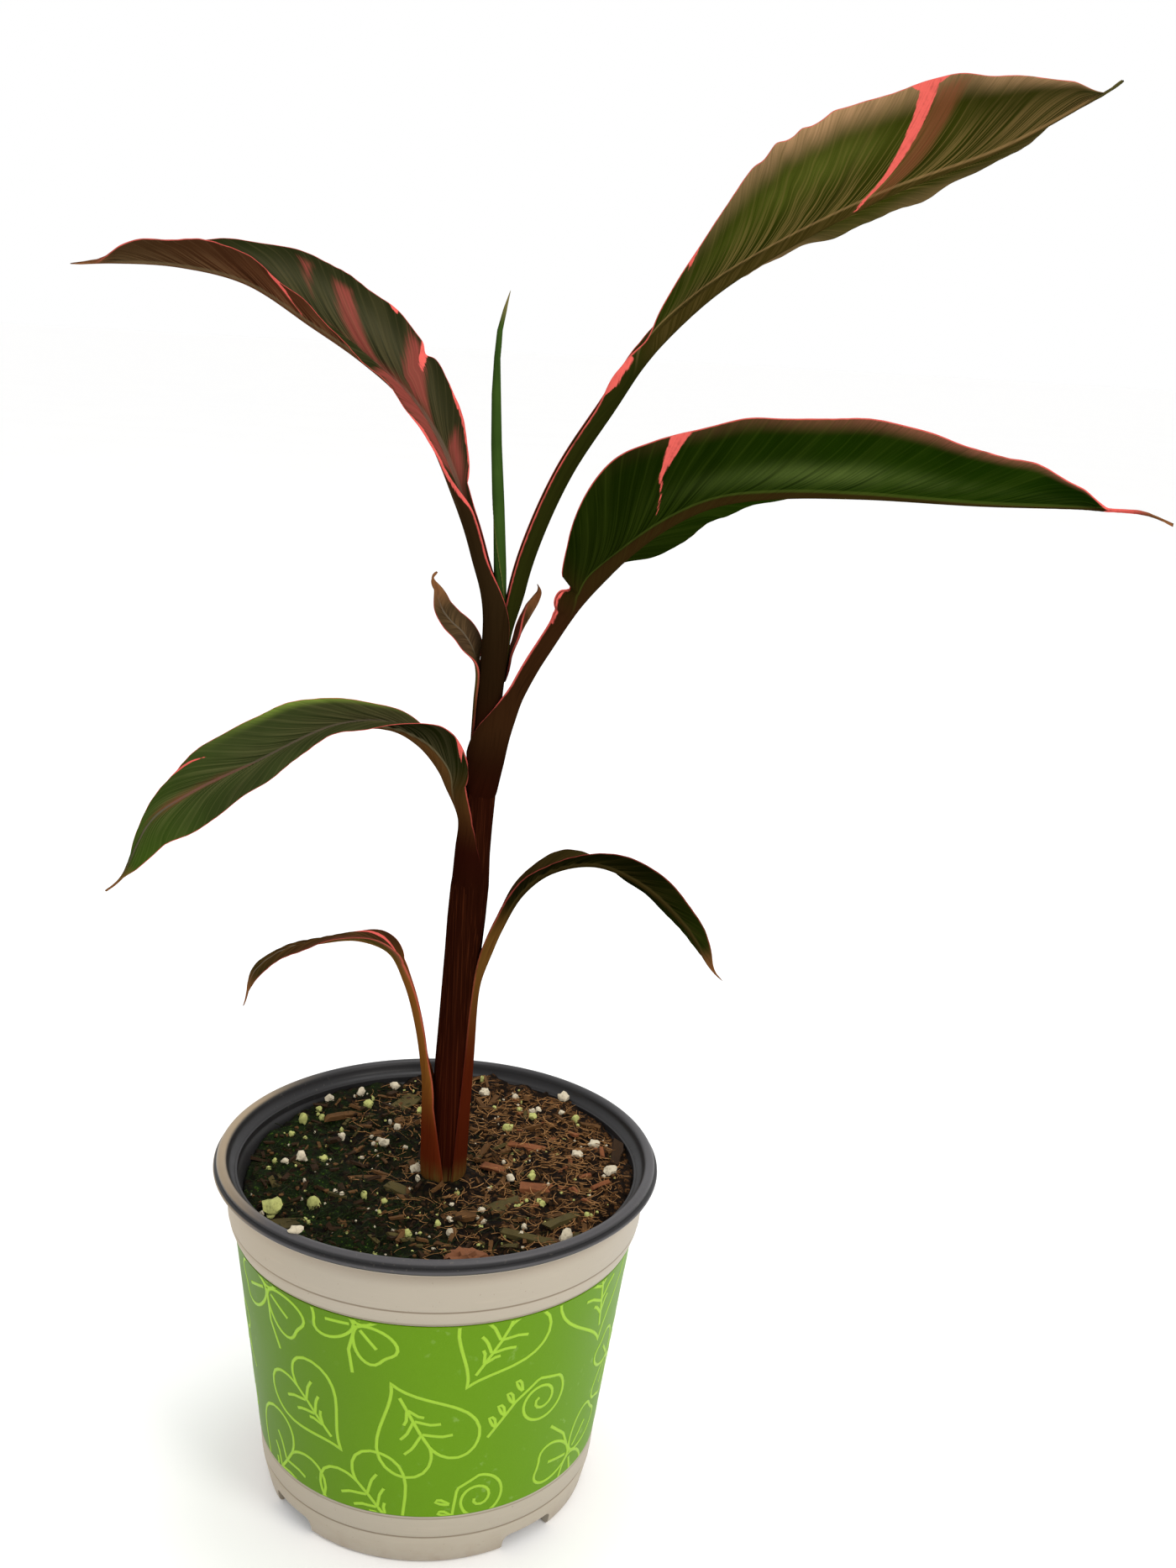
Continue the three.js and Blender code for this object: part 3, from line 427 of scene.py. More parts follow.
def wrapped(columns, rings, place):
    """A grid bent into a closed skin: place gives the points, and the values that a finish reads
    there, for the shares round and along. Faces of the first half of the round take the first
    material, the rest the second."""
    bm = bmesh.new()
    bmesh.ops.create_grid(bm, x_segments=columns, y_segments=rings, size=1)
    for face in bm.faces:
        face.material_index = 0 if face.calc_center_median().x < 0 else 1
    flat = np.array([vert.co[:2] for vert in bm.verts])
    points, facts = place((flat[:, 0] + 1) / 2, (flat[:, 1] + 1) / 2)
    for vert, point in zip(bm.verts, (points * MM).tolist()):
        vert.co = point
    for name, values in facts.items():
        layer = bm.verts.layers.float_vector.new(name)
        for vert, value in zip(bm.verts, np.stack(values, 1).tolist()):
            vert[layer] = value
    close(bm)
    return bm


def turned(profile, sides):
    """A closed turned solid from points of radius and height that run from axis to axis, or
    round a ring."""
    bm = bmesh.new()
    verts = [bm.verts.new((radius * MM, 0, height * MM)) for radius, height in profile]
    edges = [bm.edges.new(pair) for pair in zip(verts, verts[1:])]
    bmesh.ops.spin(bm, geom=verts + edges, cent=(0, 0, 0), axis=(0, 0, 1), angle=TURN,
                   steps=sides, use_merge=True)
    close(bm)
    return bm


# Finishes


class Wire:
    """A socket of a finish. Sums on values add Math nodes, and sums on vectors Vector Math."""

    def __init__(self, finish, socket):
        self.finish = finish
        self.socket = socket

    def math(self, operation, *values):
        kind = "ShaderNodeVectorMath" if self.socket.type == "VECTOR" else "ShaderNodeMath"
        return self.finish.node(kind, {"operation": operation}, dict(enumerate(values or [self])))

    def __add__(self, other):
        return self.math("ADD", self, other)

    __radd__ = __add__

    def __sub__(self, other):
        return self.math("SUBTRACT", self, other)

    def __rsub__(self, other):
        return self.math("SUBTRACT", other, self)

    def __mul__(self, other):
        return self.math("MULTIPLY", self, other)

    __rmul__ = __mul__

    def __pow__(self, other):
        return self.math("POWER", self, other)

    def __abs__(self):
        return self.math("ABSOLUTE")

    def smooth(self, low, high, start=0, end=1):
        """A soft step from start to end, as the value runs from low to high."""
        return self.finish.node("ShaderNodeMapRange", {"interpolation_type": "SMOOTHSTEP"},
                                {0: self, 1: low, 2: high, 3: start, 4: end})

    def shades(self, tint, low, high):
        """A colour that runs from one factor to another, as the value runs from 0 to 1."""
        return self.finish.mix(self, shade_of(tint, low), shade_of(tint, high))

    def mix(self, factor, tint):
        """The colour with another laid over it."""
        return self.finish.mix(factor, self, tint)

    def times(self, *tint):
        return self.finish.mix(1, self, tint, "MULTIPLY")


class Finish:
    """A material and the nodes that colour it. By default it's matt: leaves and stems are so
    dark that the bright studio would drown them in a sheen."""

    def __init__(self, name, roughness=0.5, specular=0.0):
        self.material = bpy.data.materials.new(name)
        self.material.use_nodes = True
        self.tree = self.material.node_tree
        self.tree.nodes.clear()
        output = self.tree.nodes.new("ShaderNodeOutputMaterial")
        self.shader = self.tree.nodes.new("ShaderNodeBsdfPrincipled")
        self.tree.links.new(self.shader.outputs[0], output.inputs["Surface"])
        self.shader.inputs["Roughness"].default_value = roughness
        self.shader.inputs["Specular IOR Level"].default_value = specular

    def node(self, kind, settings=None, sockets=None, output=0):
        made = self.tree.nodes.new(kind)
        for key, value in (settings or {}).items():
            setattr(made, key, value)
        for key, value in (sockets or {}).items():
            self.join(value, made.inputs[key])
        return Wire(self, made.outputs[output])

    def join(self, value, socket):
        if isinstance(value, Wire):
            self.tree.links.new(value.socket, socket)
        elif socket.type == "RGBA":
            socket.default_value = (*tuple(value)[:3], 1)
        elif socket.type == "VECTOR" and isinstance(value, (int, float)):
            socket.default_value = (value, value, value)
        else:
            socket.default_value = value

    def place(self):
        return self.node("ShaderNodeTexCoord", output="Object")

    def read(self, name):
        """The three values of a vertex attribute."""
        return self.split(self.node("ShaderNodeAttribute", {"attribute_name": name}, output="Vector"))

    def split(self, vector):
        parts = self.node("ShaderNodeSeparateXYZ", sockets={0: vector})
        return [Wire(self, socket) for socket in parts.socket.node.outputs]

    def vector(self, x, y, z=0):
        return self.node("ShaderNodeCombineXYZ", sockets={0: x, 1: y, 2: z})

    def noise(self, vector, scale, detail=3, roughness=0.55):
        return self.node("ShaderNodeTexNoise", sockets={
            "Vector": vector, "Scale": scale, "Detail": detail, "Roughness": roughness})

    def cells(self, vector, scale):
        return self.node("ShaderNodeTexVoronoi", sockets={"Vector": vector, "Scale": scale})

    def mix(self, factor, first, second, blend="MIX"):
        return self.node("ShaderNodeMix", {"data_type": "RGBA", "blend_type": blend},
                         {0: factor, 6: first, 7: second}, output=2)

    def bump(self, height, distance, strength):
        """Relief from a height of 0 to 1 that stands distance mm high."""
        relief = self.node("ShaderNodeBump", sockets={
            "Height": height, "Distance": distance * MM, "Strength": strength})
        self.join(relief, self.shader.inputs["Normal"])

    def paint(self, shade, roughness=None):
        self.join(shade, self.shader.inputs["Base Color"])
        if roughness is not None:
            self.join(roughness, self.shader.inputs["Roughness"])


def shade_of(tint, factor):
    """A colour made darker or lighter by a factor."""
    return tuple(min(1.0, channel * factor) for channel in tuple(tint)[:3])


def pot_finish(settings):
    """Moulded pale plastic, a little dusty, with fine scuffs, a grubby foot and painted shade."""
    finish = Finish("pot_shell", specular=0.3)
    place = finish.place()
    x, y, height = finish.split(place)
    cloud = finish.noise(place, 22, 4)
    speck = finish.noise(place, 900, 2).smooth(0.68, 0.78)
    smear = finish.noise(finish.vector(x * 60, y * 60, height * 900), 1)
    foot = height.smooth(12 * MM, 0) * finish.noise(place, 160, 4).smooth(0.35, 0.75)
    shade = cloud.shades(settings.shell, 0.93, 1.04)
    shade = shade.mix(smear.smooth(0.5, 0.8) * 0.18, srgb(186, 172, 154))
    shade = shade.mix(foot * 0.45, srgb(150, 132, 110))
    shade = shade.mix(speck * 0.4, srgb(120, 104, 86))
    # Painted shade: dark lines in the grooves and beside the sleeve's ends, where shade falls.
    for seam, half, weight in ((102.4, 0.5, 0.75), (11.4, 0.5, 0.7), (97.2, 0.6, 0.5), (19.4, 0.5, 0.5)):
        groove_shade = abs(height - seam * MM).smooth(half * MM, 0.1 * MM)
        shade = shade.mix(groove_shade * weight, srgb(104, 88, 66))
    # Painted shade: a darker band on the flare under the rim.
    shade_under_rim = height.smooth(111 * MM, 117.4 * MM) * height.smooth(118.1 * MM, 117.6 * MM)
    shade = shade.mix(shade_under_rim * 0.5, srgb(118, 98, 78))
    # Painted shade: warmer and darker towards the left, away from the key light.
    shade = shade.mix(x.smooth(-20 * MM, -72 * MM) * 0.4, srgb(158, 136, 100))
    finish.paint(shade, cloud.smooth(0.2, 0.8, 0.42, 0.58))
    finish.bump(finish.noise(place, 1400, 2) * 0.5 + smear * 0.5, 0.05, 0.35)
    return finish


def rim_finish(settings):
    """Dark satin plastic with dust, painted highlights on its top and bead, and a painted warm reflection."""
    finish = Finish("pot_rim", specular=0.25)
    place = finish.place()
    x, y, height = finish.split(place)
    radius = (x * x + y * y) ** 0.5
    cloud = finish.noise(place, 34, 5)
    dust = finish.noise(place, 700).smooth(0.6, 0.75) * cloud.smooth(0.45, 0.7)
    # Painted highlights on the roll's top and the bead, weaker behind; painted warm reflection at left.
    top = height.smooth(121.1 * MM, 121.9 * MM) * radius.smooth(71.2 * MM, 72.4 * MM)
    bead = height.smooth(118.7 * MM, 119.1 * MM) * height.smooth(119.9 * MM, 119.5 * MM)
    bead = bead * radius.smooth(75.2 * MM, 75.6 * MM)
    weaker_behind = y.smooth(20 * MM, 60 * MM, 1, 0.35)
    painted_highlight = bead.math("MAXIMUM", top * weaker_behind, bead) * (0.7 + cloud * 0.6)
    highlight_tone = finish.mix(x.smooth(-44 * MM, -72 * MM), shade_of(settings.rim, 4.2), srgb(150, 132, 106))
    shade = cloud.shades(settings.rim, 0.7, 1.2).mix(painted_highlight, highlight_tone)
    shade = shade.mix(dust * 0.3, srgb(120, 112, 100))
    finish.paint(shade, cloud.smooth(0.3, 0.75, 0.34, 0.52))
    finish.bump(finish.noise(place, 1100, 2), 0.04, 0.4)
    return finish


def sleeve_finish(settings):
    """Printed film: an even ground with fine specks and scuffs, and painted shade towards the left."""
    finish = Finish("sleeve_film", specular=0.12)
    place = finish.place()
    cloud = finish.noise(place, 16)
    scuff = finish.noise(place, 240, 4).smooth(0.63, 0.72) * cloud.smooth(0.4, 0.6)
    # Painted shade: the film darkens towards the left.
    left_shade = finish.split(place)[0].smooth(10 * MM, -66 * MM)
    shade = cloud.shades(settings.sleeve, 0.9, 1.1)
    shade = shade.mix(finish.noise(place, 2200, 1) * 0.12, settings.print)
    shade = shade.mix(scuff * 0.2, srgb(170, 196, 120))
    shade = shade.mix(left_shade * 0.4, srgb(60, 80, 0))
    finish.paint(shade, cloud.smooth(0.25, 0.75, 0.38, 0.5))
    finish.bump(finish.noise(place, 90, 2), 0.12, 0.3)
    return finish


def print_finish(settings):
    """Light ink of the sleeve's line drawing."""
    finish = Finish("sleeve_ink", specular=0.12)
    place = finish.place()
    cloud = finish.noise(place, 180)
    finish.paint(cloud.shades(settings.print, 0.92, 1.08), cloud.smooth(0.3, 0.7, 0.4, 0.5))
    finish.bump(finish.noise(place, 90, 2), 0.12, 0.3)
    return finish


def soil_finish(settings):
    """Crumbly compost, green with moss towards the front left, rusty towards the right."""
    finish = Finish("soil", specular=0.1)
    place = finish.place()
    x, y = finish.split(place)[:2]
    crumbs = finish.cells(place, 420)
    fine = finish.noise(place, 1500, 4, 0.7)
    side = x * 16 + y * 6 + (finish.noise(place, 55, 4, 0.6) - 0.5) * 2.2
    mossy = side.smooth(0.1, -0.7) * finish.noise(place, 260).smooth(0.35, 0.6)
    rusty = side.smooth(-0.1, 0.9) * fine.smooth(0.42, 0.6)
    tips = finish.noise(place, 900, 2).smooth(0.58, 0.68)
    earth = fine.shades(settings.earth, 0.2, 1.6).mix(rusty * 0.8, srgb(112, 74, 38))
    earth = earth.mix(crumbs.smooth(0.3, 0.6) * 0.9, shade_of(settings.earth, 0.12))
    green = fine.shades(settings.moss, 0.1, 1.7).mix(tips * 0.7, srgb(66, 92, 24))
    finish.paint(earth.mix(mossy, green), fine.smooth(0.2, 0.8, 0.8, 1))
    finish.bump(fine * 0.6 + (1 - crumbs) * 0.5, 0.9, 0.9)
    return finish


def bark_finish(name, tone, contrast=0.8):
    """Fibrous bark or wood with dark stains."""
    finish = Finish(name, specular=0.15)
    along, across, grain = finish.read("chip_place")
    fibre = finish.noise(finish.vector(along * 0.25, across * 3, grain * 7), 1, 4, 0.65)
    stain = finish.noise(finish.place(), 130).smooth(0.45, 0.75)
    shade = fibre.shades(tone, 1 - 0.65 * contrast, 1 + 0.6 * contrast)
    finish.paint(shade.mix(stain * 0.6, shade_of(tone, 0.35)), fibre.smooth(0.2, 0.8, 0.72, 0.95))
    finish.bump(fibre, 0.35, 0.8)
    return finish


def grain_finish(name, tone, pores=900):
    """A pale, porous mineral grain."""
    finish = Finish(name, specular=0.15)
    place = finish.place()
    pits = finish.cells(place, pores)
    cloud = finish.noise(place, 300, 4)
    shade = cloud.shades(tone, 0.8, 1.1).mix(pits.smooth(0.5, 0.1) * 0.35, shade_of(tone, 0.45))
    finish.paint(shade, cloud.smooth(0.3, 0.7, 0.75, 0.95))
    finish.bump(pits, 0.4, 0.7)
    return finish


def stem_finish(tone):
    """Red-brown sheath skin with fine lengthwise veins and an earthy foot."""
    finish = Finish("stem_skin")
    x, y, height = finish.split(finish.place())
    veins = finish.noise(finish.vector(x * 900, y * 900, height * 14), 1, 3, 0.6)
    fine_veins = finish.noise(finish.vector(x * 2400, y * 2400, height * 20), 1, 2).smooth(0.5, 0.7)
    cloud = finish.noise(finish.vector(x, y, height * 0.4), 60)
    shade = cloud.shades(tone, 0.55, 1.6)
    shade = shade.mix(height.smooth(190 * MM, 118 * MM) * 0.35, srgb(66, 18, 8))
    shade = shade.mix(fine_veins * 0.35, srgb(84, 40, 20))
    shade = shade.mix(veins.smooth(0.5, 0.72) * 0.4, shade_of(tone, 0.35))
    foot = height.smooth(119 * MM, 110 * MM) * veins.smooth(0.35, 0.6)
    finish.paint(shade.mix(foot, srgb(96, 76, 38)), veins.smooth(0.3, 0.8, 0.32, 0.5))
    finish.bump(veins, 0.12, 0.5)
    return finish


def leaf_finish(leaf, upper, settings):
    """One face of a leaf, from its sheath's skin through the stalk to the veined blade."""
    finish = Finish(f"{leaf.name}_{'upper' if upper else 'lower'}")
    along, across, vein = finish.read("leaf_place")
    pink_depth, margin, painted_sheen = finish.read("leaf_marks")
    opened, share, sheathed = finish.read("leaf_zone")
    faded_depth, gleam = finish.read("leaf_faded")[:2]
    place = finish.place()
    height = finish.split(place)[2]
    step = settings.vein_step / MM
    half_way = (leaf.start + leaf.length) / 2
    first, second, third = (srgb(*tone) for tone in (leaf.upper if upper else leaf.lower))
    vein_tone, vein_weight = srgb(*leaf.veins[0]), leaf.veins[1]

    fine = finish.noise(finish.vector(vein * 1.3, across * 0.05), 1, 3, 0.6)
    band = finish.noise(finish.vector(vein * 0.16, across * 0.02), 1)
    cloud = finish.noise(place, 28, 4)
    speck = finish.noise(place, 420, 3, 0.65)
    uneven = vein + (band - 0.5) * step
    main_vein = abs((uneven * (math.pi / step)).math("SINE")).smooth(0.45, 0)
    small_vein = abs((uneven * (4 * math.pi / step)).math("SINE")).smooth(0.35, 0)
    strand = abs(finish.noise(finish.vector(vein * 0.36, across * 0.015), 1, 2, 0.5) - 0.5)
    near_rib = share.smooth(0.5, 0.05)

    tone = finish.mix(along.smooth(leaf.start, half_way), first, second)
    tone = tone.mix(along.smooth(half_way, leaf.length), third).times(0.78, 0.78, 0.7)
    light = tone.times(3.4, 2.8, 2.4).mix(0.6, vein_tone)
    dark = tone.times(0.32, 0.32, 0.32)
    blade = tone.mix(cloud.smooth(0.3, 0.7) * 0.55, dark)
    blade = blade.mix(band.smooth(0.45, 0.75) * 0.14, light)
    blade = blade.mix(fine.smooth(0.45, 0.75) * (0.15 + near_rib * 0.65), dark)
    # Painted highlight: a gleam pales the blade round its share.
    blade = blade.mix(gleam * (cloud + fine * 0.6).smooth(0.45, 1.05) * 0.6, srgb(*leaf.gleam))
    blade = blade.mix((0.15 + near_rib * 0.5) * strand.smooth(0.05, 0.16), dark)
    strands = strand.smooth(0.06, 0) * vein_weight
    blade = blade.mix(strands * share.smooth(0.75, 0.1) * (0.5 + fine * 0.9), light)
    blade = blade.mix(main_vein * 0.1 + small_vein * (0.04 + near_rib * 0.12), light)
    # Painted sheen: a pale glaze laid over the blade in bands.
    blade = blade.mix(painted_sheen * (0.15 + fine * 1.2), srgb(*leaf.painted_sheen))

    width = along.smooth(leaf.start, leaf.length, leaf.rib_half, 0.4)
    off_rib = abs(across)
    tip = along.smooth(leaf.length - 14, leaf.length - 3)
    rib_tone = (0.12, 0.0936, 0.0624) if upper else srgb(*(leaf.rib or leaf.stalk))
    blade = blade.mix(off_rib.smooth(width, width * 0.6) * 0.8 * (1 - tip), rib_tone)
    if not upper:
        blade = blade.mix(abs(off_rib - width).smooth(0.4, 0.1) * 0.4 * (1 - tip), vein_tone)
    blade = blade.mix(tip * 0.7, srgb(*leaf.tip))
    blotch = (faded_depth + (fine - 0.5) * 5 + (cloud - 0.5) * 6).smooth(-1.2, 3.2)
    dull = srgb(*leaf.dull) if leaf.dull else settings.dull_pink
    blade = blade.mix(blotch * (0.2 + fine * 0.85), dull)

    streak = finish.noise(finish.vector(across * 1.1, along * 0.035), 1, 3, 0.6)
    stalk_tone, skin_tone = (shade_of(srgb(*tone), 0.8) for tone in (leaf.stalk, leaf.skin))
    low = streak.shades(stalk_tone, 0.55, 1.5).mix(sheathed, streak.shades(skin_tone, 0.7, 1.35))
    low = low.mix(streak.smooth(0.5, 0.7) * 0.5, shade_of(skin_tone, 0.4))
    if leaf.foot > STEM_FOOT:
        low = low.mix(along.smooth(26, 3), streak.shades(settings.stem, 0.6, 1.4))
    foot = height.smooth(122 * MM, 111 * MM) * (streak + cloud * 0.5).smooth(0.5, 0.95)
    shade = low.mix(foot, srgb(96, 78, 36)).mix(opened, blade)

    ragged = pink_depth + (fine - 0.5) * 1.3 + (speck - 0.5) * 0.8
    pink = (fine * 0.6 + speck * 0.5).smooth(0.3, 0.6).shades(settings.pink, 0.62, 1)
    shade = shade.mix(ragged.smooth(-0.15, 0.3) * 0.94, pink)
    edge = (margin + (speck - 0.5) * 0.3).smooth(leaf.edge, 0.06)
    edge = edge * (1 - sheathed * 0.85) * along.smooth(leaf.length - 6, leaf.length - 16)
    edge = edge * (band + (cloud - 0.5)).smooth(0.1, 0.5)
    shade = shade.mix(edge * leaf.edge_strength, settings.pink)
    finish.paint(shade, (cloud + fine * 0.4).smooth(0.4, 1, 0.38, 0.55))
    main, small = (1 - main_vein, 1 - small_vein) if upper else (main_vein, small_vein)
    relief = (main * 0.5 + small * 0.15) * (0.3 + near_rib) + fine * 0.35
    finish.bump(relief * opened + streak * (1 - opened), 0.14, 0.6)
    return finish


# Pot


def wall_radius(height):
    return float(np.interp(height, [0, 11.4, 20.1, 96.4, 102.5, 122.4], [56.6, 59, 59.7, 68.6, 71, 71.8]))


def inner_radius(height):
    return float(np.interp(height, [2, 20.1, 96.4, 122.4], [54.4, 57.5, 66.4, 68.8]))


def liner_radius(height):
    return inner_radius(height) - 1.5


def groove(height, depth=0.55, half=0.8):
    """A soft V of a turned profile."""
    return [(wall_radius(height + half * step) - depth * share, height + half * step)
            for step, share in ((-1.5, 0), (-1, 0.35), (0, 1), (1, 0.35), (1.5, 0))]


def drain_cutter(bearing, half_width, top, corner):
    """A wedge that cuts one arch out of the pot's foot."""
    bm = bmesh.new()
    bmesh.ops.create_cube(bm, size=1)
    bmesh.ops.scale(bm, vec=(24 * MM, 2 * half_width * MM, (top + 4) * MM), verts=bm.verts[:])
    bmesh.ops.translate(bm, vec=(56 * MM, 0, (top - 4) / 2 * MM), verts=bm.verts[:])
    upper = [edge for edge in bm.edges
             if all(abs(vert.co.z - top * MM) < 1e-6 for vert in edge.verts)
             and abs(edge.verts[0].co.x - edge.verts[1].co.x) > 1e-3]
    bmesh.ops.bevel(bm, geom=upper, offset=corner * MM, segments=6, affect="EDGES", profile=0.5, material=-1)
    bmesh.ops.rotate(bm, cent=(0, 0, 0), matrix=Matrix.Rotation(math.radians(bearing), 3, "Z"),
                     verts=bm.verts[:])
    return placed("drain", as_mesh("drain", bm))


def cut_away(shell, cutters):
    """The shell less the cutters, as a plain mesh."""
    for cutter in cutters:
        cut = shell.modifiers.new(cutter.name, "BOOLEAN")
        cut.operation = "DIFFERENCE"
        cut.solver = "EXACT"
        cut.object = cutter
    bpy.context.view_layer.update()
    seen = shell.evaluated_get(bpy.context.evaluated_depsgraph_get())
    mesh = bpy.data.meshes.new_from_object(seen)
    shell.modifiers.clear()
    old = shell.data
    shell.data = mesh
    bpy.data.meshes.remove(old)
    for cutter in cutters:
        bpy.data.objects.remove(cutter)


class BANANA_OT_pot(bpy.types.Operator):
    """Build the pale outer wall of the pot, with its bands, grooves and drain arches"""

    bl_idname = "banana.make_pot"
    bl_label = "Pot wall"

    def execute(self, context):
        settings = context.scene.banana_pot
        base = settings.base_radius / MM
        profile = [(0, 1.2), (base - 8, 1.2), (base - 6.5, 0), (base - 0.9, 0), (base, 1), *groove(11.4),
                   (59.6, 19.2), (59.68, 19.8), (59.5, 20.1), (58.9, 20.2), (67.8, 96.3), (68.3, 96.4),
                   (68.75, 96.8), (69.6, 98.6), *groove(102.5), (71.65, 113), (72, 115.2), (72.8, 116.8),
                   (74.2, 117.7), (75.2, 117.95), (75.3, 118.2), (75, 118.35), (73, 118.3),
                   (inner_radius(117), 117), (66.4, 96.4), (57.5, 20.1), (54.4, 2.2), (0, 2.2)]
        shell = piece("pot_shell", turned(profile, settings.sides), [pot_finish(settings)], sharp=40)
        cut_away(shell, [drain_cutter(42.5 + 90 * turn, 10.2, 6, 2.5) for turn in range(4)])
        shell.data.shade_smooth()
        shell.data.set_sharp_from_angle(angle=math.radians(35))
        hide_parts("pot_wall")
        return {"FINISHED"}


class BANANA_OT_rim(bpy.types.Operator):
    """Build the dark inner layer with its ledge and the rolled, beaded rim"""

    bl_idname = "banana.make_rim"
    bl_label = "Rim and liner"

    def execute(self, context):
        settings = context.scene.banana_pot
        inside = [(liner_radius(h), h) for h in (96.4, 20.1, 8)]
        outside = [(inner_radius(h) - 0.3, h) for h in (8, 20.1, 96.4, 117.5)]
        rolled = [(73.4, 118.45), (75.2, 118.45), (75.8, 118.65), (76, 119.1), (75.95, 119.55),
                  (75.6, 119.85), (75.05, 119.95), (74.85, 120.1), (74.85, 120.5), (74.95, 121),
                  (74.85, 121.5), (74.5, 122), (74, 122.3), (73.4, 122.4), (72.8, 122.35), (72.2, 122.1),
                  (71.7, 121.7), (71.4, 121.2), (71.25, 120.6), (71, 119.6), (70.5, 118.8), (69.6, 118.3),
                  (68.9, 117.9), (68.4, 117.2), (68, 115.8), (67.5, 114.9), (67.1, 114.4),
                  (liner_radius(112), 112)]
        ring = [*outside, *rolled, *inside, outside[0]]
        rim = piece("pot_rim", turned(ring, settings.sides), [rim_finish(settings)], sharp=50)
        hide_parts("pot_liner")
        return {"FINISHED"}


# Sleeve


def heart_leaf(size):
    """A heart-shaped leaf with a midrib and side veins."""
    turn = np.linspace(0, TURN, 40)
    wide = size * 0.42 * np.sin(turn) ** 3 * 1.15
    tall = size * 0.035 * (13 * np.cos(turn) - 5 * np.cos(2 * turn) - 2 * np.cos(3 * turn) - np.cos(4 * turn))
    lines = [np.stack([wide, tall], 1), np.array([(0, size * 0.2), (0.4, 0), (0, -size * 0.42)])]
    for side in (-1, 1):
        for low, reach in ((0.02, 0.24), (-0.14, 0.2), (-0.27, 0.1)):
            lines.append(np.array([(0.2 * side, low * size), (side * reach * 0.6 * size, (low + 0.1) * size),
                                   (side * reach * size, (low + 0.13) * size)]))
    return lines


def spun(points, angle):
    """Flat points, turned by an angle."""
    return points @ np.array([(math.cos(angle), math.sin(angle)), (-math.sin(angle), math.cos(angle))])


def clover(size):
    """Three notched lobes on a bent stalk."""
    turn = np.linspace(0, TURN, 26)
    notch = size * 0.06 * np.exp(-(turn - math.pi) ** 2 * 5)
    lobe = np.stack([size * 0.19 * np.sin(turn) * (1 - 0.25 * np.cos(turn)),
                     size * (0.25 - 0.23 * np.cos(turn)) - notch], 1)
    midrib = np.array([(0, size * 0.06), (0, size * 0.3)])
    lines = [spun(line, angle) for angle in (0, 2.05, -2.05) for line in (lobe, midrib)]
    lines.append(np.array([(0, 0), (size * 0.05, -size * 0.3), (size * 0.18, -size * 0.52)]))
    return lines


def tendril(size):
    """A fern tip that curls into a spiral and carries short leaflets."""
    turn = np.linspace(0, 3.6 * math.pi, 60)
    reach = size * 0.3 * (1 - turn / (4.2 * math.pi))
    spiral = np.stack([reach * np.sin(turn), reach * np.cos(turn)], 1)
    stalk = np.array([(-size * 0.32, -size * 0.55), (-size * 0.3, -size * 0.1), (-size * 0.2, size * 0.2)])
    lines = [np.concatenate([stalk, spiral[1:]])]
    for low in (-0.42, -0.27, -0.12, 0.03):
        base = np.array((-size * 0.31, low * size))
        out = np.array((-size * 0.15, size * 0.07))
        side = np.array((-size * 0.02, size * 0.06))
        middle = base + out * 0.5
        lines.append(np.array([base, middle + side, base + out, middle - side * 0.4, base]))
    return lines


def sprig(size):
    """Two berries on their stalks."""
    turn = np.linspace(0, TURN, 16)
    ring = np.stack([np.cos(turn), np.sin(turn)], 1) * size * 0.16
    return [
        *(ring + np.array(at) * size for at in ((-0.22, 0.1), (0.14, 0.2))),
        np.array([(0, -0.4), (-0.05, -0.15), (-0.16, -0.02)]) * size,
        np.array([(-0.04, -0.2), (0.06, -0.05), (0.11, 0.05)]) * size,
    ]


def drawn_lines(width, height, line):
    """The flat line drawing of the sleeve as a mesh, in metres, from 0 to width and height."""
    rng = random.Random(11)
    motifs = [heart_leaf, clover, tendril, heart_leaf, clover]
    data = bpy.data.curves.new("sleeve_lines", "CURVE")
    data.dimensions = "3D"
    data.bevel_depth = line / 2 * MM
    data.bevel_resolution = 1
    columns = 10
    for row, low in enumerate((6, 38, 70)):
        for column in range(columns):
            spot = np.array([(column + (0.25 if row % 2 else 0.75)) * width / columns + rng.uniform(-3, 3),
                             low + rng.uniform(-4, 4)])
            angle = rng.uniform(-0.8, 0.8) + (math.pi if rng.random() < 0.2 else 0)
            shape = motifs[(column * 2 + row * 3) % len(motifs)](rng.uniform(32, 40))
            if rng.random() < 0.12:
                shape = sprig(30)
            for points in shape:
                add_line(data, spun(points, angle) + spot)
    drawing = placed("sleeve_lines", data)
    bpy.context.view_layer.update()
    mesh = bpy.data.meshes.new_from_object(drawing.evaluated_get(bpy.context.evaluated_depsgraph_get()))
    bpy.data.objects.remove(drawing)
    bm = bmesh.new()
    bm.from_mesh(mesh)
    bpy.data.meshes.remove(mesh)
    for edge, outward in ((0.4, -1), (height - 0.4, 1)):
        bmesh.ops.bisect_plane(bm, geom=bm.verts[:] + bm.edges[:] + bm.faces[:], dist=1e-7,
                               plane_co=(0, edge * MM, 0), plane_no=(0, outward, 0), clear_outer=True)
    return bm


def add_line(data, points, step=1.6):
    """A drawn line, in steps short enough to bend round the pot."""
    at = arc_lengths(points)
    places = np.linspace(0, at[-1], max(2, int(at[-1] / step) + 1))
    points = np.stack([np.interp(places, at, points[:, k]) for k in range(2)], 1)
    spline = data.splines.new("POLY")
    spline.points.add(len(points) - 1)
    for point, (x, y) in zip(spline.points, points):
        point.co = (x * MM, y * MM, 0, 1)


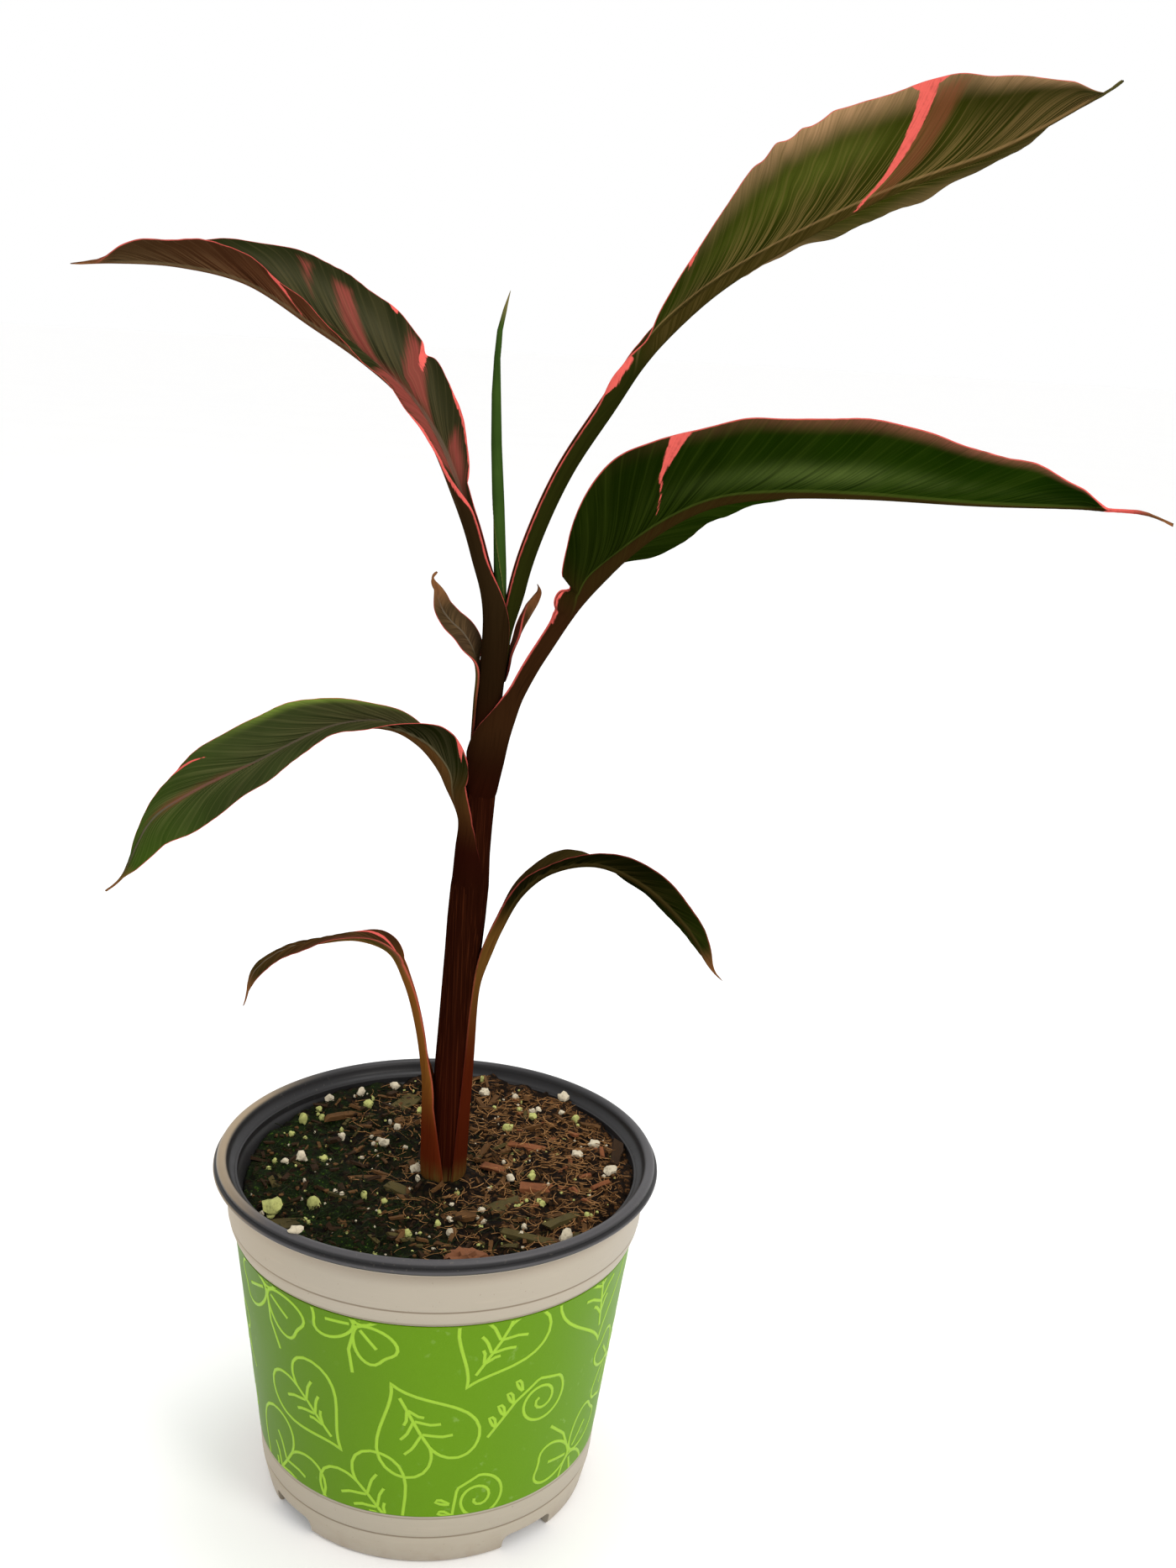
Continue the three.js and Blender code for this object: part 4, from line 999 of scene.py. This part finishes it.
class BANANA_OT_sleeve(bpy.types.Operator):
    """Build the printed sleeve round the pot and the line drawing on it"""

    bl_idname = "banana.make_sleeve"
    bl_label = "Sleeve"

    def execute(self, context):
        settings = context.scene.banana_pot
        low, high = SLEEVE_ENDS
        profile = [(59.2, low), (59.5, low), (59.72, low + 0.12), (68.57, high - 0.12), (68.4, high),
                   (68.1, high), (59.2, low)]
        sleeve = piece("sleeve", turned(profile, settings.sides), [sleeve_finish(settings)], sharp=40)
        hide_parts("label_sleeve")

        bm = drawn_lines(TURN * PRINT_RADIUS, high - low, PRINT_LINE)
        for vert in bm.verts:
            height = low + vert.co.y / MM
            radius = 59.7 + (height - low) * 8.87 / (high - low) + 0.02 + vert.co.z / MM * 0.12
            turn = vert.co.x / MM / PRINT_RADIUS + math.radians(230)
            vert.co = Vector((radius * math.cos(turn), radius * math.sin(turn), height)) * MM
        bmesh.ops.recalc_face_normals(bm, faces=bm.faces[:])
        lines = piece("sleeve_drawing", bm, [print_finish(settings)])
        return {"FINISHED"}


# Soil


def soil_height(x, y):
    """The top of the soil, in mm, with its crumbs and hollows."""
    from_stem = math.hypot(x - STEM_X, y - STEM_Y)
    from_middle = math.hypot(x, y)
    away = float(smooth(11, 25, from_stem))
    bumps = math.sin(x * 0.13 + 1) * math.cos(y * 0.11) + 0.6 * math.sin(x * 0.31 - y * 0.23)
    dish = 4 * from_middle / liner_radius(SOIL_LEVEL)
    level = SOIL_LEVEL + away * (dish + 0.034 * x + 0.055 * y + 0.9 * bumps) + 1.2 * float(smooth(44, 64, y))
    rough = noise.fractal(Vector((x * 0.11, y * 0.11, 4.2)), 1.0, 2.0, 4)
    lump = 0.42 - noise.voronoi(Vector((x * 0.3, y * 0.3, 1.7)))[0][0]
    crumb = 0.42 - noise.voronoi(Vector((x * 0.85, y * 0.85, 5.1)))[0][0]
    mound = 2.7 * float(smooth(16, 8, from_stem))
    edge = 0.8 * float(smooth(62, 66, from_middle))
    return level + rough * 1.3 + (lump * 1.6 + crumb * 0.7) * (0.3 + 0.7 * away) + mound - edge


class BANANA_OT_soil(bpy.types.Operator):
    """Build the bed of compost that fills the pot"""

    bl_idname = "banana.make_soil"
    bl_label = "Soil"

    def execute(self, context):
        sides, rings = 360, 150
        below = [(0.4, 2.4), (liner_radius(2.4) - 0.6, 2.4), (liner_radius(20) - 0.6, 20.1),
                 (liner_radius(96) - 0.6, 96.4), (liner_radius(106) - 0.6, 105)]
        edge = liner_radius(SOIL_LEVEL) - 0.5

        def ring_point(ring, angle):
            if ring < len(below):
                radius, height = below[ring]
                return radius * math.cos(angle), radius * math.sin(angle), height
            radius = edge * (1 - ((ring - len(below)) / (rings - len(below))) ** 0.85)
            x, y = radius * math.cos(angle), radius * math.sin(angle)
            height = soil_height(x, y)
            lean = 1 + 0.012 * max(0, height - SOIL_LEVEL) * smooth(0.9, 1, radius / edge)
            return x * lean ** 0.5, y * lean ** 0.5, height

        def place(around, along):
            steps = np.rint(along * rings).astype(int)
            angles = around * TURN
            return np.array([ring_point(*at) for at in zip(steps.tolist(), angles.tolist())]), {}

        finish = soil_finish(context.scene.banana_soil)
        soil = piece("soil_bed", wrapped(sides, rings, place), [finish, finish])
        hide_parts("soil")
        return {"FINISHED"}


def cut_across(bm, cuts):
    """Cuts the long edges of a unit shape that lies along X."""
    longways = [edge for edge in bm.edges if abs(edge.verts[0].co.x - edge.verts[1].co.x) > 0.5]
    bmesh.ops.subdivide_edges(bm, edges=longways, cuts=cuts)


def chip_template(rng):
    """A broken flake: a small block, cut across its grain, with ragged faces."""
    bm = bmesh.new()
    bmesh.ops.create_cube(bm, size=1)
    cut_across(bm, 2)
    for vert in bm.verts:
        taper = 1 - 0.5 * abs(vert.co.x) * rng.random()
        vert.co.y = vert.co.y * taper + rng.uniform(-0.12, 0.12)
        vert.co.z = vert.co.z * taper + rng.uniform(-0.14, 0.14)
        vert.co.x += rng.uniform(-0.1, 0.1)
    bmesh.ops.recalc_face_normals(bm, faces=bm.faces[:])
    return as_mesh("chip", bm)


def lump_template(rng, divisions):
    """A rough round grain."""
    bm = bmesh.new()
    bmesh.ops.create_icosphere(bm, subdivisions=divisions, radius=0.5)
    for vert in bm.verts:
        vert.co *= 1 + rng.uniform(-0.3, 0.3)
    return as_mesh("lump", bm)


def strand_template():
    """A thin bent three-sided strand, one unit long and one unit thick."""
    bm = bmesh.new()
    bmesh.ops.create_cone(bm, cap_ends=True, segments=3, radius1=0.5, radius2=0.35, depth=1)
    bmesh.ops.rotate(bm, cent=(0, 0, 0), matrix=Matrix.Rotation(math.pi / 2, 3, "Y"), verts=bm.verts[:])
    cut_across(bm, 4)
    for vert in bm.verts:
        vert.co.y = vert.co.y * 0.12 + 0.5 * math.cos(vert.co.x * 2.4) - 0.35
    return as_mesh("strand", bm)


class Scatter:
    """Many small shapes in one mesh, each from a template turned, scaled and set down."""

    def __init__(self):
        self.bm = bmesh.new()
        self.layer = self.bm.verts.layers.float_vector.new("chip_place")
        self.count = 0

    def add(self, template, matrix, size, finish=0):
        verts, faces = len(self.bm.verts), len(self.bm.faces)
        self.bm.from_mesh(template)
        self.bm.verts.ensure_lookup_table()
        self.bm.faces.ensure_lookup_table()
        self.count += 1
        for vert in self.bm.verts[verts:]:
            vert[self.layer] = (vert.co.x * size[0], vert.co.y * size[1], self.count * 0.37)
            vert.co = matrix @ Vector([vert.co[k] * size[k] for k in range(3)]) * MM
        for face in self.bm.faces[faces:]:
            face.material_index = finish


def resting(x, y, lift, yaw, pitch=0, roll=0):
    """Where a small shape lies on the soil."""
    turn = Matrix.Rotation(yaw, 4, "Z") @ Matrix.Rotation(pitch, 4, "Y") @ Matrix.Rotation(roll, 4, "X")
    return Matrix.Translation((x, y, soil_height(x, y) + lift)) @ turn


def on_soil(rng, reach=63.5):
    """A place on the soil, clear of the stem."""
    while True:
        x, y = rng.uniform(-reach, reach), rng.uniform(-reach, reach)
        if math.hypot(x, y) < reach and math.hypot(x - 3, y - 1) > 10:
            return x, y


class BANANA_OT_litter(bpy.types.Operator):
    """Scatter bark chips, fibres, perlite and grit over the soil"""

    bl_idname = "banana.make_litter"
    bl_label = "Bark and grains"

    def execute(self, context):
        settings = context.scene.banana_soil
        self.bark(settings)
        self.fibres()
        self.perlite(settings)
        return {"FINISHED"}

    def bark(self, settings):
        rng = random.Random(5)
        chips = [chip_template(rng) for _ in range(7)]
        grit = [lump_template(rng, 1) for _ in range(4)]
        scatter = Scatter()
        for x, y, reach, wide, thick, yaw, tone in LARGE_CHIPS:
            scatter.add(rng.choice(chips), resting(x, y, thick * 0.45, yaw, rng.uniform(-0.12, 0.12), 0.1),
                        (reach, wide, thick), tone)
        stone = resting(15, -54, 1.2, 0.3, 0.15, 0.2)
        scatter.add(lump_template(rng, 3), stone, (13, 8, 7), STONE)
        for _ in range(CHIP_COUNT):
            x, y = on_soil(rng)
            reach = 1.5 + 6 * rng.random() ** 2.6
            size = (reach, reach * rng.uniform(0.14, 0.38), reach * rng.uniform(0.08, 0.18) + 0.3)
            brown = x * 0.016 + y * 0.004 + rng.uniform(-0.8, 0.8)
            tone = DARK if brown < -0.25 else OLIVE if brown < -0.05 else BROWN if brown < 1.1 else RED
            chip = rng.choice(chips)
            turns = rng.uniform(0, ANY_TURN), rng.uniform(-0.5, 0.5), rng.uniform(-0.5, 0.5)
            scatter.add(chip, resting(x, y, 0.25, *turns), size, tone)
        for _ in range(GRIT_COUNT):
            x, y = on_soil(rng)
            size = [rng.uniform(0.7, 2.0)] * 3
            tone = DARK if rng.random() < 0.6 else BROWN
            scatter.add(rng.choice(grit), resting(x, y, 0.1, rng.uniform(0, ANY_TURN)), size, tone)
        bark = piece("soil_bark", scatter.bm, [
            bark_finish("bark_dark", shade_of(settings.bark, 0.25), 1),
            bark_finish("bark_brown", settings.bark, 1),
            bark_finish("bark_red", srgb(126, 76, 46)),
            bark_finish("bark_olive", srgb(78, 68, 36)),
            grain_finish("stone", srgb(122, 78, 52), 500),
        ], sharp=40)

    def fibres(self):
        rng = random.Random(9)
        scatter = Scatter()
        strand = strand_template()
        for _ in range(FIBRE_COUNT):
            x, y = on_soil(rng)
            reach = rng.uniform(2, 7.5)
            wide = rng.uniform(0.18, 0.42)
            lying = resting(x, y, rng.uniform(0.3, 1.0), rng.uniform(0, ANY_TURN), rng.uniform(-0.35, 0.35))
            size = (reach, reach * rng.uniform(0.15, 1.0) * 0.6, wide)
            scatter.add(strand, lying, size, 0 if x * 0.8 + y * 0.3 + rng.uniform(-26, 26) < 0 else 1)
        fibres = piece("soil_fibres", scatter.bm, [
            bark_finish("fibre_dark", srgb(34, 42, 12)),
            bark_finish("fibre_light", srgb(172, 126, 78)),
        ])

    def perlite(self, settings):
        rng = random.Random(3)
        grains = [lump_template(rng, 2) for _ in range(5)]
        scatter = Scatter()

        def drop(x, y, size, tone, lift, most):
            """Sets one grain on the soil, of a drawn tone if none is given."""
            spread = [size * rng.uniform(0.65, most) for _ in range(3)]
            if tone is None:
                tone = 1 if rng.random() < 0.55 else 0
            grain = rng.choice(grains)
            scatter.add(grain, resting(x, y, size * lift, rng.uniform(0, ANY_TURN)), spread, tone)

        for x, y, size, tone in LARGE_GRAINS:
            drop(x, y, size, tone, 0.25, 1.1)
        for _ in range(GRAIN_COUNT):
            x, y = on_soil(rng)
            drop(x, y, 0.8 + 2 * rng.random() ** 3, None, 0.2, 1.2)
        on_rim = Matrix.Translation((-38.2, -60.8, 122.9)) @ Matrix.Rotation(0.4, 4, "Z")
        scatter.add(grains[0], on_rim, (4.4, 3, 2.6), 0)
        perlite = piece("soil_perlite", scatter.bm, [
            grain_finish("perlite", settings.perlite),
            grain_finish("perlite_mossy", srgb(184, 186, 112)),
        ], sharp=60)


# Plant


def frame_at(leaf, distance):
    """Middle, near direction and upper direction of the leaf at distances along it."""
    slopes = np.gradient(leaf.curve, leaf.lengths, axis=0)
    middle, ahead = (np.stack([np.interp(distance, leaf.lengths, values[:, k]) for k in range(3)], -1)
                     for values in (leaf.curve, slopes))
    ahead = unit(ahead)
    near = unit(leaf.near - ahead * (ahead @ leaf.near)[:, None])
    return middle, near, np.cross(near, ahead) * leaf.sign


def half_section(leaf, distance, side):
    """Width and turns of one half, at distances along the leaf."""
    along = np.minimum(distance / leaf.sheath, 1)
    radius = mixed(*leaf.radius, along)
    wrap = np.radians(mixed(*leaf.wrap[side], along))
    place = (distance - leaf.start) / (leaf.length - leaf.filament - leaf.start)
    inside = np.clip(place, 0, 1)
    thin = 0.5 + (leaf.stalk_half - 0.5) * (1 - inside) ** 0.7
    wing = np.where(place < 0, leaf.stalk_half, thin)
    power = mixed(*leaf.fullness[side], inside)
    skewed = inside ** (math.log(0.5) / math.log(leaf.widest))
    swell = np.maximum(np.sin(math.pi * skewed), 0) ** power
    broad = wing + (leaf.half[side] * through(leaf.trim[side], inside) - wing) * swell
    eased = np.where(distance < leaf.sheath, 0, smooth(leaf.sheath, leaf.sheath + leaf.ease, distance))
    opened = smooth(leaf.start - 10, leaf.start + 8, distance)
    fold = np.radians(through(leaf.fold[side], (distance - leaf.start + 8) / (leaf.length - leaf.start + 8)))
    bow = math.radians(12)
    rib = eased * opened * (fold + bow)
    margin = mixed(wrap, mixed(math.radians(leaf.stalk_turn[side]), fold - bow, opened), eased)
    for reach, back, spread in leaf.flare[side]:
        broad = broad + reach * np.exp(-((distance - leaf.start + back) / spread) ** 2)
    slim = 1 - 0.7 * smooth(leaf.length - leaf.filament - 8, leaf.length - leaf.filament + 2, distance)
    width = mixed(radius * wrap, broad * slim, eased)
    tip = np.clip((distance - leaf.length + 3) / 3, 0, 1)
    return width * np.sqrt(1 - tip ** 2 * 0.999), rib, margin, eased, opened


def mark_depth(marks, side, vein, share, width):
    """How far inside a mark a point lies, in mm."""
    depth = np.full(vein.shape, -4.0)
    for where, inner, outer, low, high, inner_half, outer_half in marks:
        if where != side:
            continue
        reach = np.clip((share - low) / (high - low), 0, 1)
        across = mixed(inner_half, outer_half, reach) - np.abs(vein - mixed(inner, outer, reach))
        ends = np.minimum(share - low, high - share) * width
        depth = np.maximum(depth, np.minimum(across, ends))
    return np.clip(depth, -4, 4)


def leaf_skin(leaf, settings):
    """What gives the points of the leaf's skin and the values that its finish reads there."""
    leaf.lay_out()
    lamina, step = settings.lamina / MM, settings.vein_step / MM
    phases = np.random.default_rng(len(leaf.name) + leaf.bearing + 20).uniform(0, 6.28, 4)

    def place(around, along):
        distance = along * leaf.length
        upper = around < 0.5 + 1e-9
        cross = np.where(upper, 1 - 4 * around, 4 * around - 3)
        linear = np.abs(cross)
        share = 0.45 * linear + 0.55 * (0.5 - 0.5 * np.cos(math.pi * linear))
        is_near = cross >= 0
        sign = np.where(is_near, 1.0, -1.0)
        halves = [half_section(leaf, distance, side) for side in (NEAR, FAR)]
        width, rib, margin, eased, opened = (np.where(is_near, a, b) for a, b in zip(*halves))
        bend = margin - rib
        bend = np.where(np.abs(bend) < 1e-4, 1e-4, bend)
        turn = rib + bend * share
        out = width * (np.sin(turn) - np.sin(rib)) / bend
        up = -width * (np.cos(turn) - np.cos(rib)) / bend
        middle, near, top = frame_at(leaf, distance)
        keel = (halves[NEAR][1] - halves[FAR][1]) / 2
        tilt = mixed(keel, sign * turn, smooth(0, 0.06, share))
        down = near * np.sin(tilt)[:, None] - top * np.cos(tilt)[:, None]

        off_rib = share * width
        vein = distance - leaf.start - np.where(is_near, *leaf.sweep) * share ** 0.48
        inside = np.clip((distance - leaf.start) / (leaf.length - leaf.start), 0, 1)
        spread = smooth(leaf.start, leaf.start + 20, distance)
        rib_depth = mixed(mixed(leaf.sheath_depth, leaf.stalk_depth, eased), lamina + 0.5 * (1 - inside),
                          smooth(leaf.start, leaf.length, distance) ** 0.7)
        rib_half = mixed(leaf.stalk_half, 0.7, inside ** 0.6) * 0.55
        edge_depth = mixed(mixed(leaf.sheath_depth, 0.9, eased), lamina, spread)
        keel_shape = mixed(1 - share ** 1.5, np.exp(-(off_rib / rib_half) ** 2), spread)
        ends = np.sqrt(np.clip(distance / 4, 0, 1)), np.sqrt(np.clip((leaf.length - distance) / 3, 0, 1))
        thick = edge_depth + (rib_depth - edge_depth) * keel_shape
        thick = thick * np.sqrt(np.clip(1 - share ** 10, 0, 1)) * (1 - 0.35 * inside ** 12)
        thick = thick * ends[0] * ends[1]

        wave = leaf.wave * smooth(0.45, 1, share) * (
            np.sin(distance / 4.6 + phases[0] + sign) + 0.6 * np.sin(distance / 2.6 + phases[1] - sign)
            + 0.8 * np.sin(distance / 9.5 + phases[2])) * 0.6
        swing = 0.6 + 0.4 * np.sin(vein * 0.13 + phases[3])
        folds = np.sin(TURN * vein / step + 0.9 * np.sin(vein * 0.21))
        flatter = smooth(0, 0.15, share) * (1 - 0.8 * smooth(0.3, 0.9, share))
        pleat = settings.pleat / MM * swing * folds * flatter
        channel = -0.3 * np.exp(-(off_rib / 1.1) ** 2)
        lift = (wave + pleat + channel) * spread
        surface = middle + near * (sign * out)[:, None] + top * up[:, None]
        surface = surface - down * (lift + 0.5 * lamina * spread)[:, None]

        depth, faded = (
            np.where(is_near, *(mark_depth(marks, side, vein, share, width) for side in (NEAR, FAR)))
            for marks in (leaf.marks, leaf.faded))
        tint, gleam = 0 * share, 0 * share
        # Painted sheen: bands of pale glaze by side and share, with their strength along the blade.
        for side, low, high, keys in leaf.sheen_bands:
            value = smooth(low, high, share) * through(keys, inside)
            tint = np.where(is_near == (side == NEAR), np.maximum(tint, value), tint)
        # Painted highlights: where the gleams pale each half.
        for side, centre, reach, keys in leaf.gleams:
            value = np.exp(-((share - centre) / reach) ** 2) * np.clip(through(keys, inside), 0, 1)
            gleam = np.where(is_near == (side == NEAR), np.maximum(gleam, value), gleam)
        sheathed = 1 - smooth(leaf.sheath * 0.6, leaf.sheath + 14, distance)
        return surface + down * np.where(upper, 0, thick)[:, None], {
            "leaf_place": (distance, sign * off_rib, vein),
            "leaf_marks": (depth, (1 - share) * width, tint),
            "leaf_zone": (opened, share, sheathed),
            "leaf_faded": (faded, gleam, 0 * share),
        }

    return place


def add_leaf(leaf, settings, columns, rings, nodes):
    bm = wrapped(columns, rings, leaf_skin(leaf, settings))
    made = piece(f"{leaf.name}_leaf", bm, [leaf_finish(leaf, upper, settings) for upper in (True, False)])
    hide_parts(*nodes)


class BANANA_OT_leaves(bpy.types.Operator):
    """Grow the six leaves, each in one skin from the foot of its sheath to its tip"""

    bl_idname = "banana.make_leaves"
    bl_label = "Leaves"

    def execute(self, context):
        for leaf in LEAVES:
            nodes = [f"{leaf.name}_{part}" for part in ("petiole", "blade_inner", "blade_outer")]
            columns, rings = (160, 380) if leaf.half[NEAR] > 10 else (112, 240)
            add_leaf(leaf, context.scene.banana_plant, columns, rings, nodes)
        return {"FINISHED"}


class BANANA_OT_withered(bpy.types.Operator):
    """Grow the two withered leaf ends beside the fork"""

    bl_idname = "banana.make_withered"
    bl_label = "Withered leaf ends"

    def execute(self, context):
        for leaf in WITHERED:
            add_leaf(leaf, context.scene.banana_plant, 64, 110, [leaf.name])
        return {"FINISHED"}


class BANANA_OT_stem(bpy.types.Operator):
    """Build the stem inside the sheaths"""

    bl_idname = "banana.make_stem"
    bl_label = "Stem"

    def execute(self, context):
        heights, radii = zip(*STEM)

        def place(around, along):
            height = mixed(heights[0], heights[-1], np.clip(along * 1.02 - 0.01, 0, 1))
            ends = np.minimum(np.clip(along / 0.01, 0, 1), np.clip((1 - along) / 0.01, 0, 1))
            turn = around * TURN
            ripple = 1 + 0.012 * np.sin(7 * turn + height * 0.02) + 0.008 * np.sin(16 * turn)
            radius = np.interp(height, heights, radii) * ripple * ends
            ring = np.stack([radius * np.cos(turn), radius * np.sin(turn), 0 * turn], 1)
            return stem_axis(height) + ring, {}

        finish = stem_finish(context.scene.banana_plant.stem)
        stem = piece("stem", wrapped(96, 200, place), [finish, finish])
        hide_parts("pseudostem")
        return {"FINISHED"}


def spear_finish():
    """Green rolled blade with its seam, its veins and a withered point."""
    finish = Finish("rolled_leaf_skin")
    wind, height = finish.read("spear_place")[:2]
    veins = finish.noise(finish.vector(wind * 26, height * 0.03), 1)
    cloud = finish.noise(finish.place(), 60)
    shade = finish.mix(cloud, srgb(30, 50, 17), srgb(60, 84, 32))
    shade = shade.mix(veins.smooth(0.5, 0.75) * 0.5, srgb(20, 38, 18))
    shade = shade.mix(height.smooth(396, 406), srgb(112, 102, 60))
    shade = shade.mix(wind.smooth(0.05, 0) * 0.6, srgb(120, 110, 62))
    finish.paint(shade, veins.smooth(0.3, 0.7, 0.38, 0.5))
    finish.bump(veins, 0.12, 0.5)
    return finish


class BANANA_OT_spear(bpy.types.Operator):
    """Build the new leaf, still rolled up, with the seam that winds round it"""

    bl_idname = "banana.make_spear"
    bl_label = "Rolled leaf"

    def execute(self, context):
        heights, places, radii = (np.array(column, float) for column in zip(*SPEAR))
        low, high = heights[0], heights[-1]

        def place(around, along):
            height = mixed(low, high, along)
            turn = around * TURN
            wind = np.mod(around + (height - 300) / 95, 1)
            point = np.sqrt(np.clip((high - height) / 6, 0, 1))
            foot = np.clip((height - low) / 1.5, 0, 1)
            radius = np.interp(height, heights, radii) * (1 - 0.16 * wind) * point * foot
            x = np.interp(height, heights, places) + radius * np.cos(turn)
            points = np.stack([x, STEM_Y + radius * np.sin(turn), height], 1)
            return points, {"spear_place": (wind, height, 0 * wind)}

        finish = spear_finish()
        spear = piece("new_leaf", wrapped(64, 220, place), [finish, finish])
        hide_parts("rolled_leaf")
        return {"FINISHED"}


# Stage


def area_light(name, spot, target, size, power, tint=(1, 1, 1)):
    data = bpy.data.lights.new(name, "AREA")
    data.shape = "DISK"
    data.size = size
    data.energy = power
    data.color = tint
    light = placed(name, data)
    light.location = spot
    light.rotation_euler = (Vector(target) - Vector(spot)).to_track_quat("-Z", "Y").to_euler()


class BANANA_OT_stage(bpy.types.Operator):
    """Set the pale floor, the soft studio light and the camera"""

    bl_idname = "banana.make_stage"
    bl_label = "Stage"

    def execute(self, context):
        scene = context.scene
        bm = bmesh.new()
        bmesh.ops.create_circle(bm, cap_ends=True, segments=96, radius=40)
        bmesh.ops.translate(bm, vec=(0, 0, -0.0002), verts=bm.verts[:])
        finish = Finish("floor", 0.8, 0.5)
        finish.shader.inputs["Emission Color"].default_value = (1, 1, 1, 1)
        finish.shader.inputs["Emission Strength"].default_value = 0.06
        cloud = finish.noise(finish.place(), 3, 2)
        finish.paint(finish.mix(cloud, (0.92, 0.918, 0.912), (0.94, 0.938, 0.934)))
        floor = placed("floor", as_mesh("floor", bm))
        floor.data.materials.append(finish.material)

        world = bpy.data.worlds.new("studio")
        world.use_nodes = True
        ground = world.node_tree.nodes["Background"]
        ground.inputs["Color"].default_value = (1, 1, 1, 1)
        ground.inputs["Strength"].default_value = 1.0
        scene.world = world
        scene.view_settings.view_transform = "Standard"
        area_light("key", (1.2, -1.1, 1.5), (0, 0, 0.22), 0.7, 14, (1, 0.97, 0.92))
        area_light("top", (0.2, 0.3, 1.9), (0, 0, 0.2), 0.8, 8)
        self.camera(scene)
        return {"FINISHED"}

    def camera(self, scene):
        pitch, roll = 0.259, -0.058
        x, y, z = 0.0444, -0.5283, 0.3952
        ahead = Vector((0, math.cos(pitch), -math.sin(pitch)))
        level_up = Vector((0, math.sin(pitch), math.cos(pitch)))
        right = math.cos(roll) * Vector((1, 0, 0)) - math.sin(roll) * level_up
        up = math.sin(roll) * Vector((1, 0, 0)) + math.cos(roll) * level_up
        data = bpy.data.cameras.new("camera")
        data.sensor_width = 36
        data.lens = 38.57
        data.clip_start = 0.01
        camera = placed("camera", data)
        camera.matrix_world = Matrix((
            (right.x, up.x, -ahead.x, x),
            (right.y, up.y, -ahead.y, y),
            (right.z, up.z, -ahead.z, z),
            (0, 0, 0, 1),
        ))
        scene.camera = camera


class BANANA_PT_panel(bpy.types.Panel):
    """Sizes, colours and the steps that build the plant"""

    bl_idname = "BANANA_PT_panel"
    bl_label = "Potted banana plant"
    bl_space_type = "VIEW_3D"
    bl_region_type = "UI"
    bl_category = "Banana plant"

    def draw(self, context):
        for group in (context.scene.banana_pot, context.scene.banana_soil, context.scene.banana_plant):
            box = self.layout.box()
            for name in group.__annotations__:
                box.prop(group, name)
        for step in STEPS:
            self.layout.operator(step.bl_idname)


STEPS = (BANANA_OT_pot, BANANA_OT_rim, BANANA_OT_sleeve, BANANA_OT_soil, BANANA_OT_litter, BANANA_OT_stem,
         BANANA_OT_leaves, BANANA_OT_withered, BANANA_OT_spear, BANANA_OT_stage)
CLASSES = (PotSettings, SoilSettings, PlantSettings, *STEPS, BANANA_PT_panel)


def register():
    for kind in CLASSES:
        bpy.utils.register_class(kind)
    bpy.types.Scene.banana_pot = PointerProperty(type=PotSettings)
    bpy.types.Scene.banana_soil = PointerProperty(type=SoilSettings)
    bpy.types.Scene.banana_plant = PointerProperty(type=PlantSettings)


def unregister():
    del bpy.types.Scene.banana_pot
    del bpy.types.Scene.banana_soil
    del bpy.types.Scene.banana_plant
    for kind in reversed(CLASSES):
        bpy.utils.unregister_class(kind)


def main():
    register()
    bpy.ops.banana.make_pot()
    bpy.ops.banana.make_rim()
    bpy.ops.banana.make_sleeve()
    bpy.ops.banana.make_soil()
    bpy.ops.banana.make_litter()
    bpy.ops.banana.make_stem()
    bpy.ops.banana.make_leaves()
    bpy.ops.banana.make_withered()
    bpy.ops.banana.make_spear()
    bpy.ops.banana.make_stage()
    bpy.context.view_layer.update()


if __name__ == "__main__":
    main()
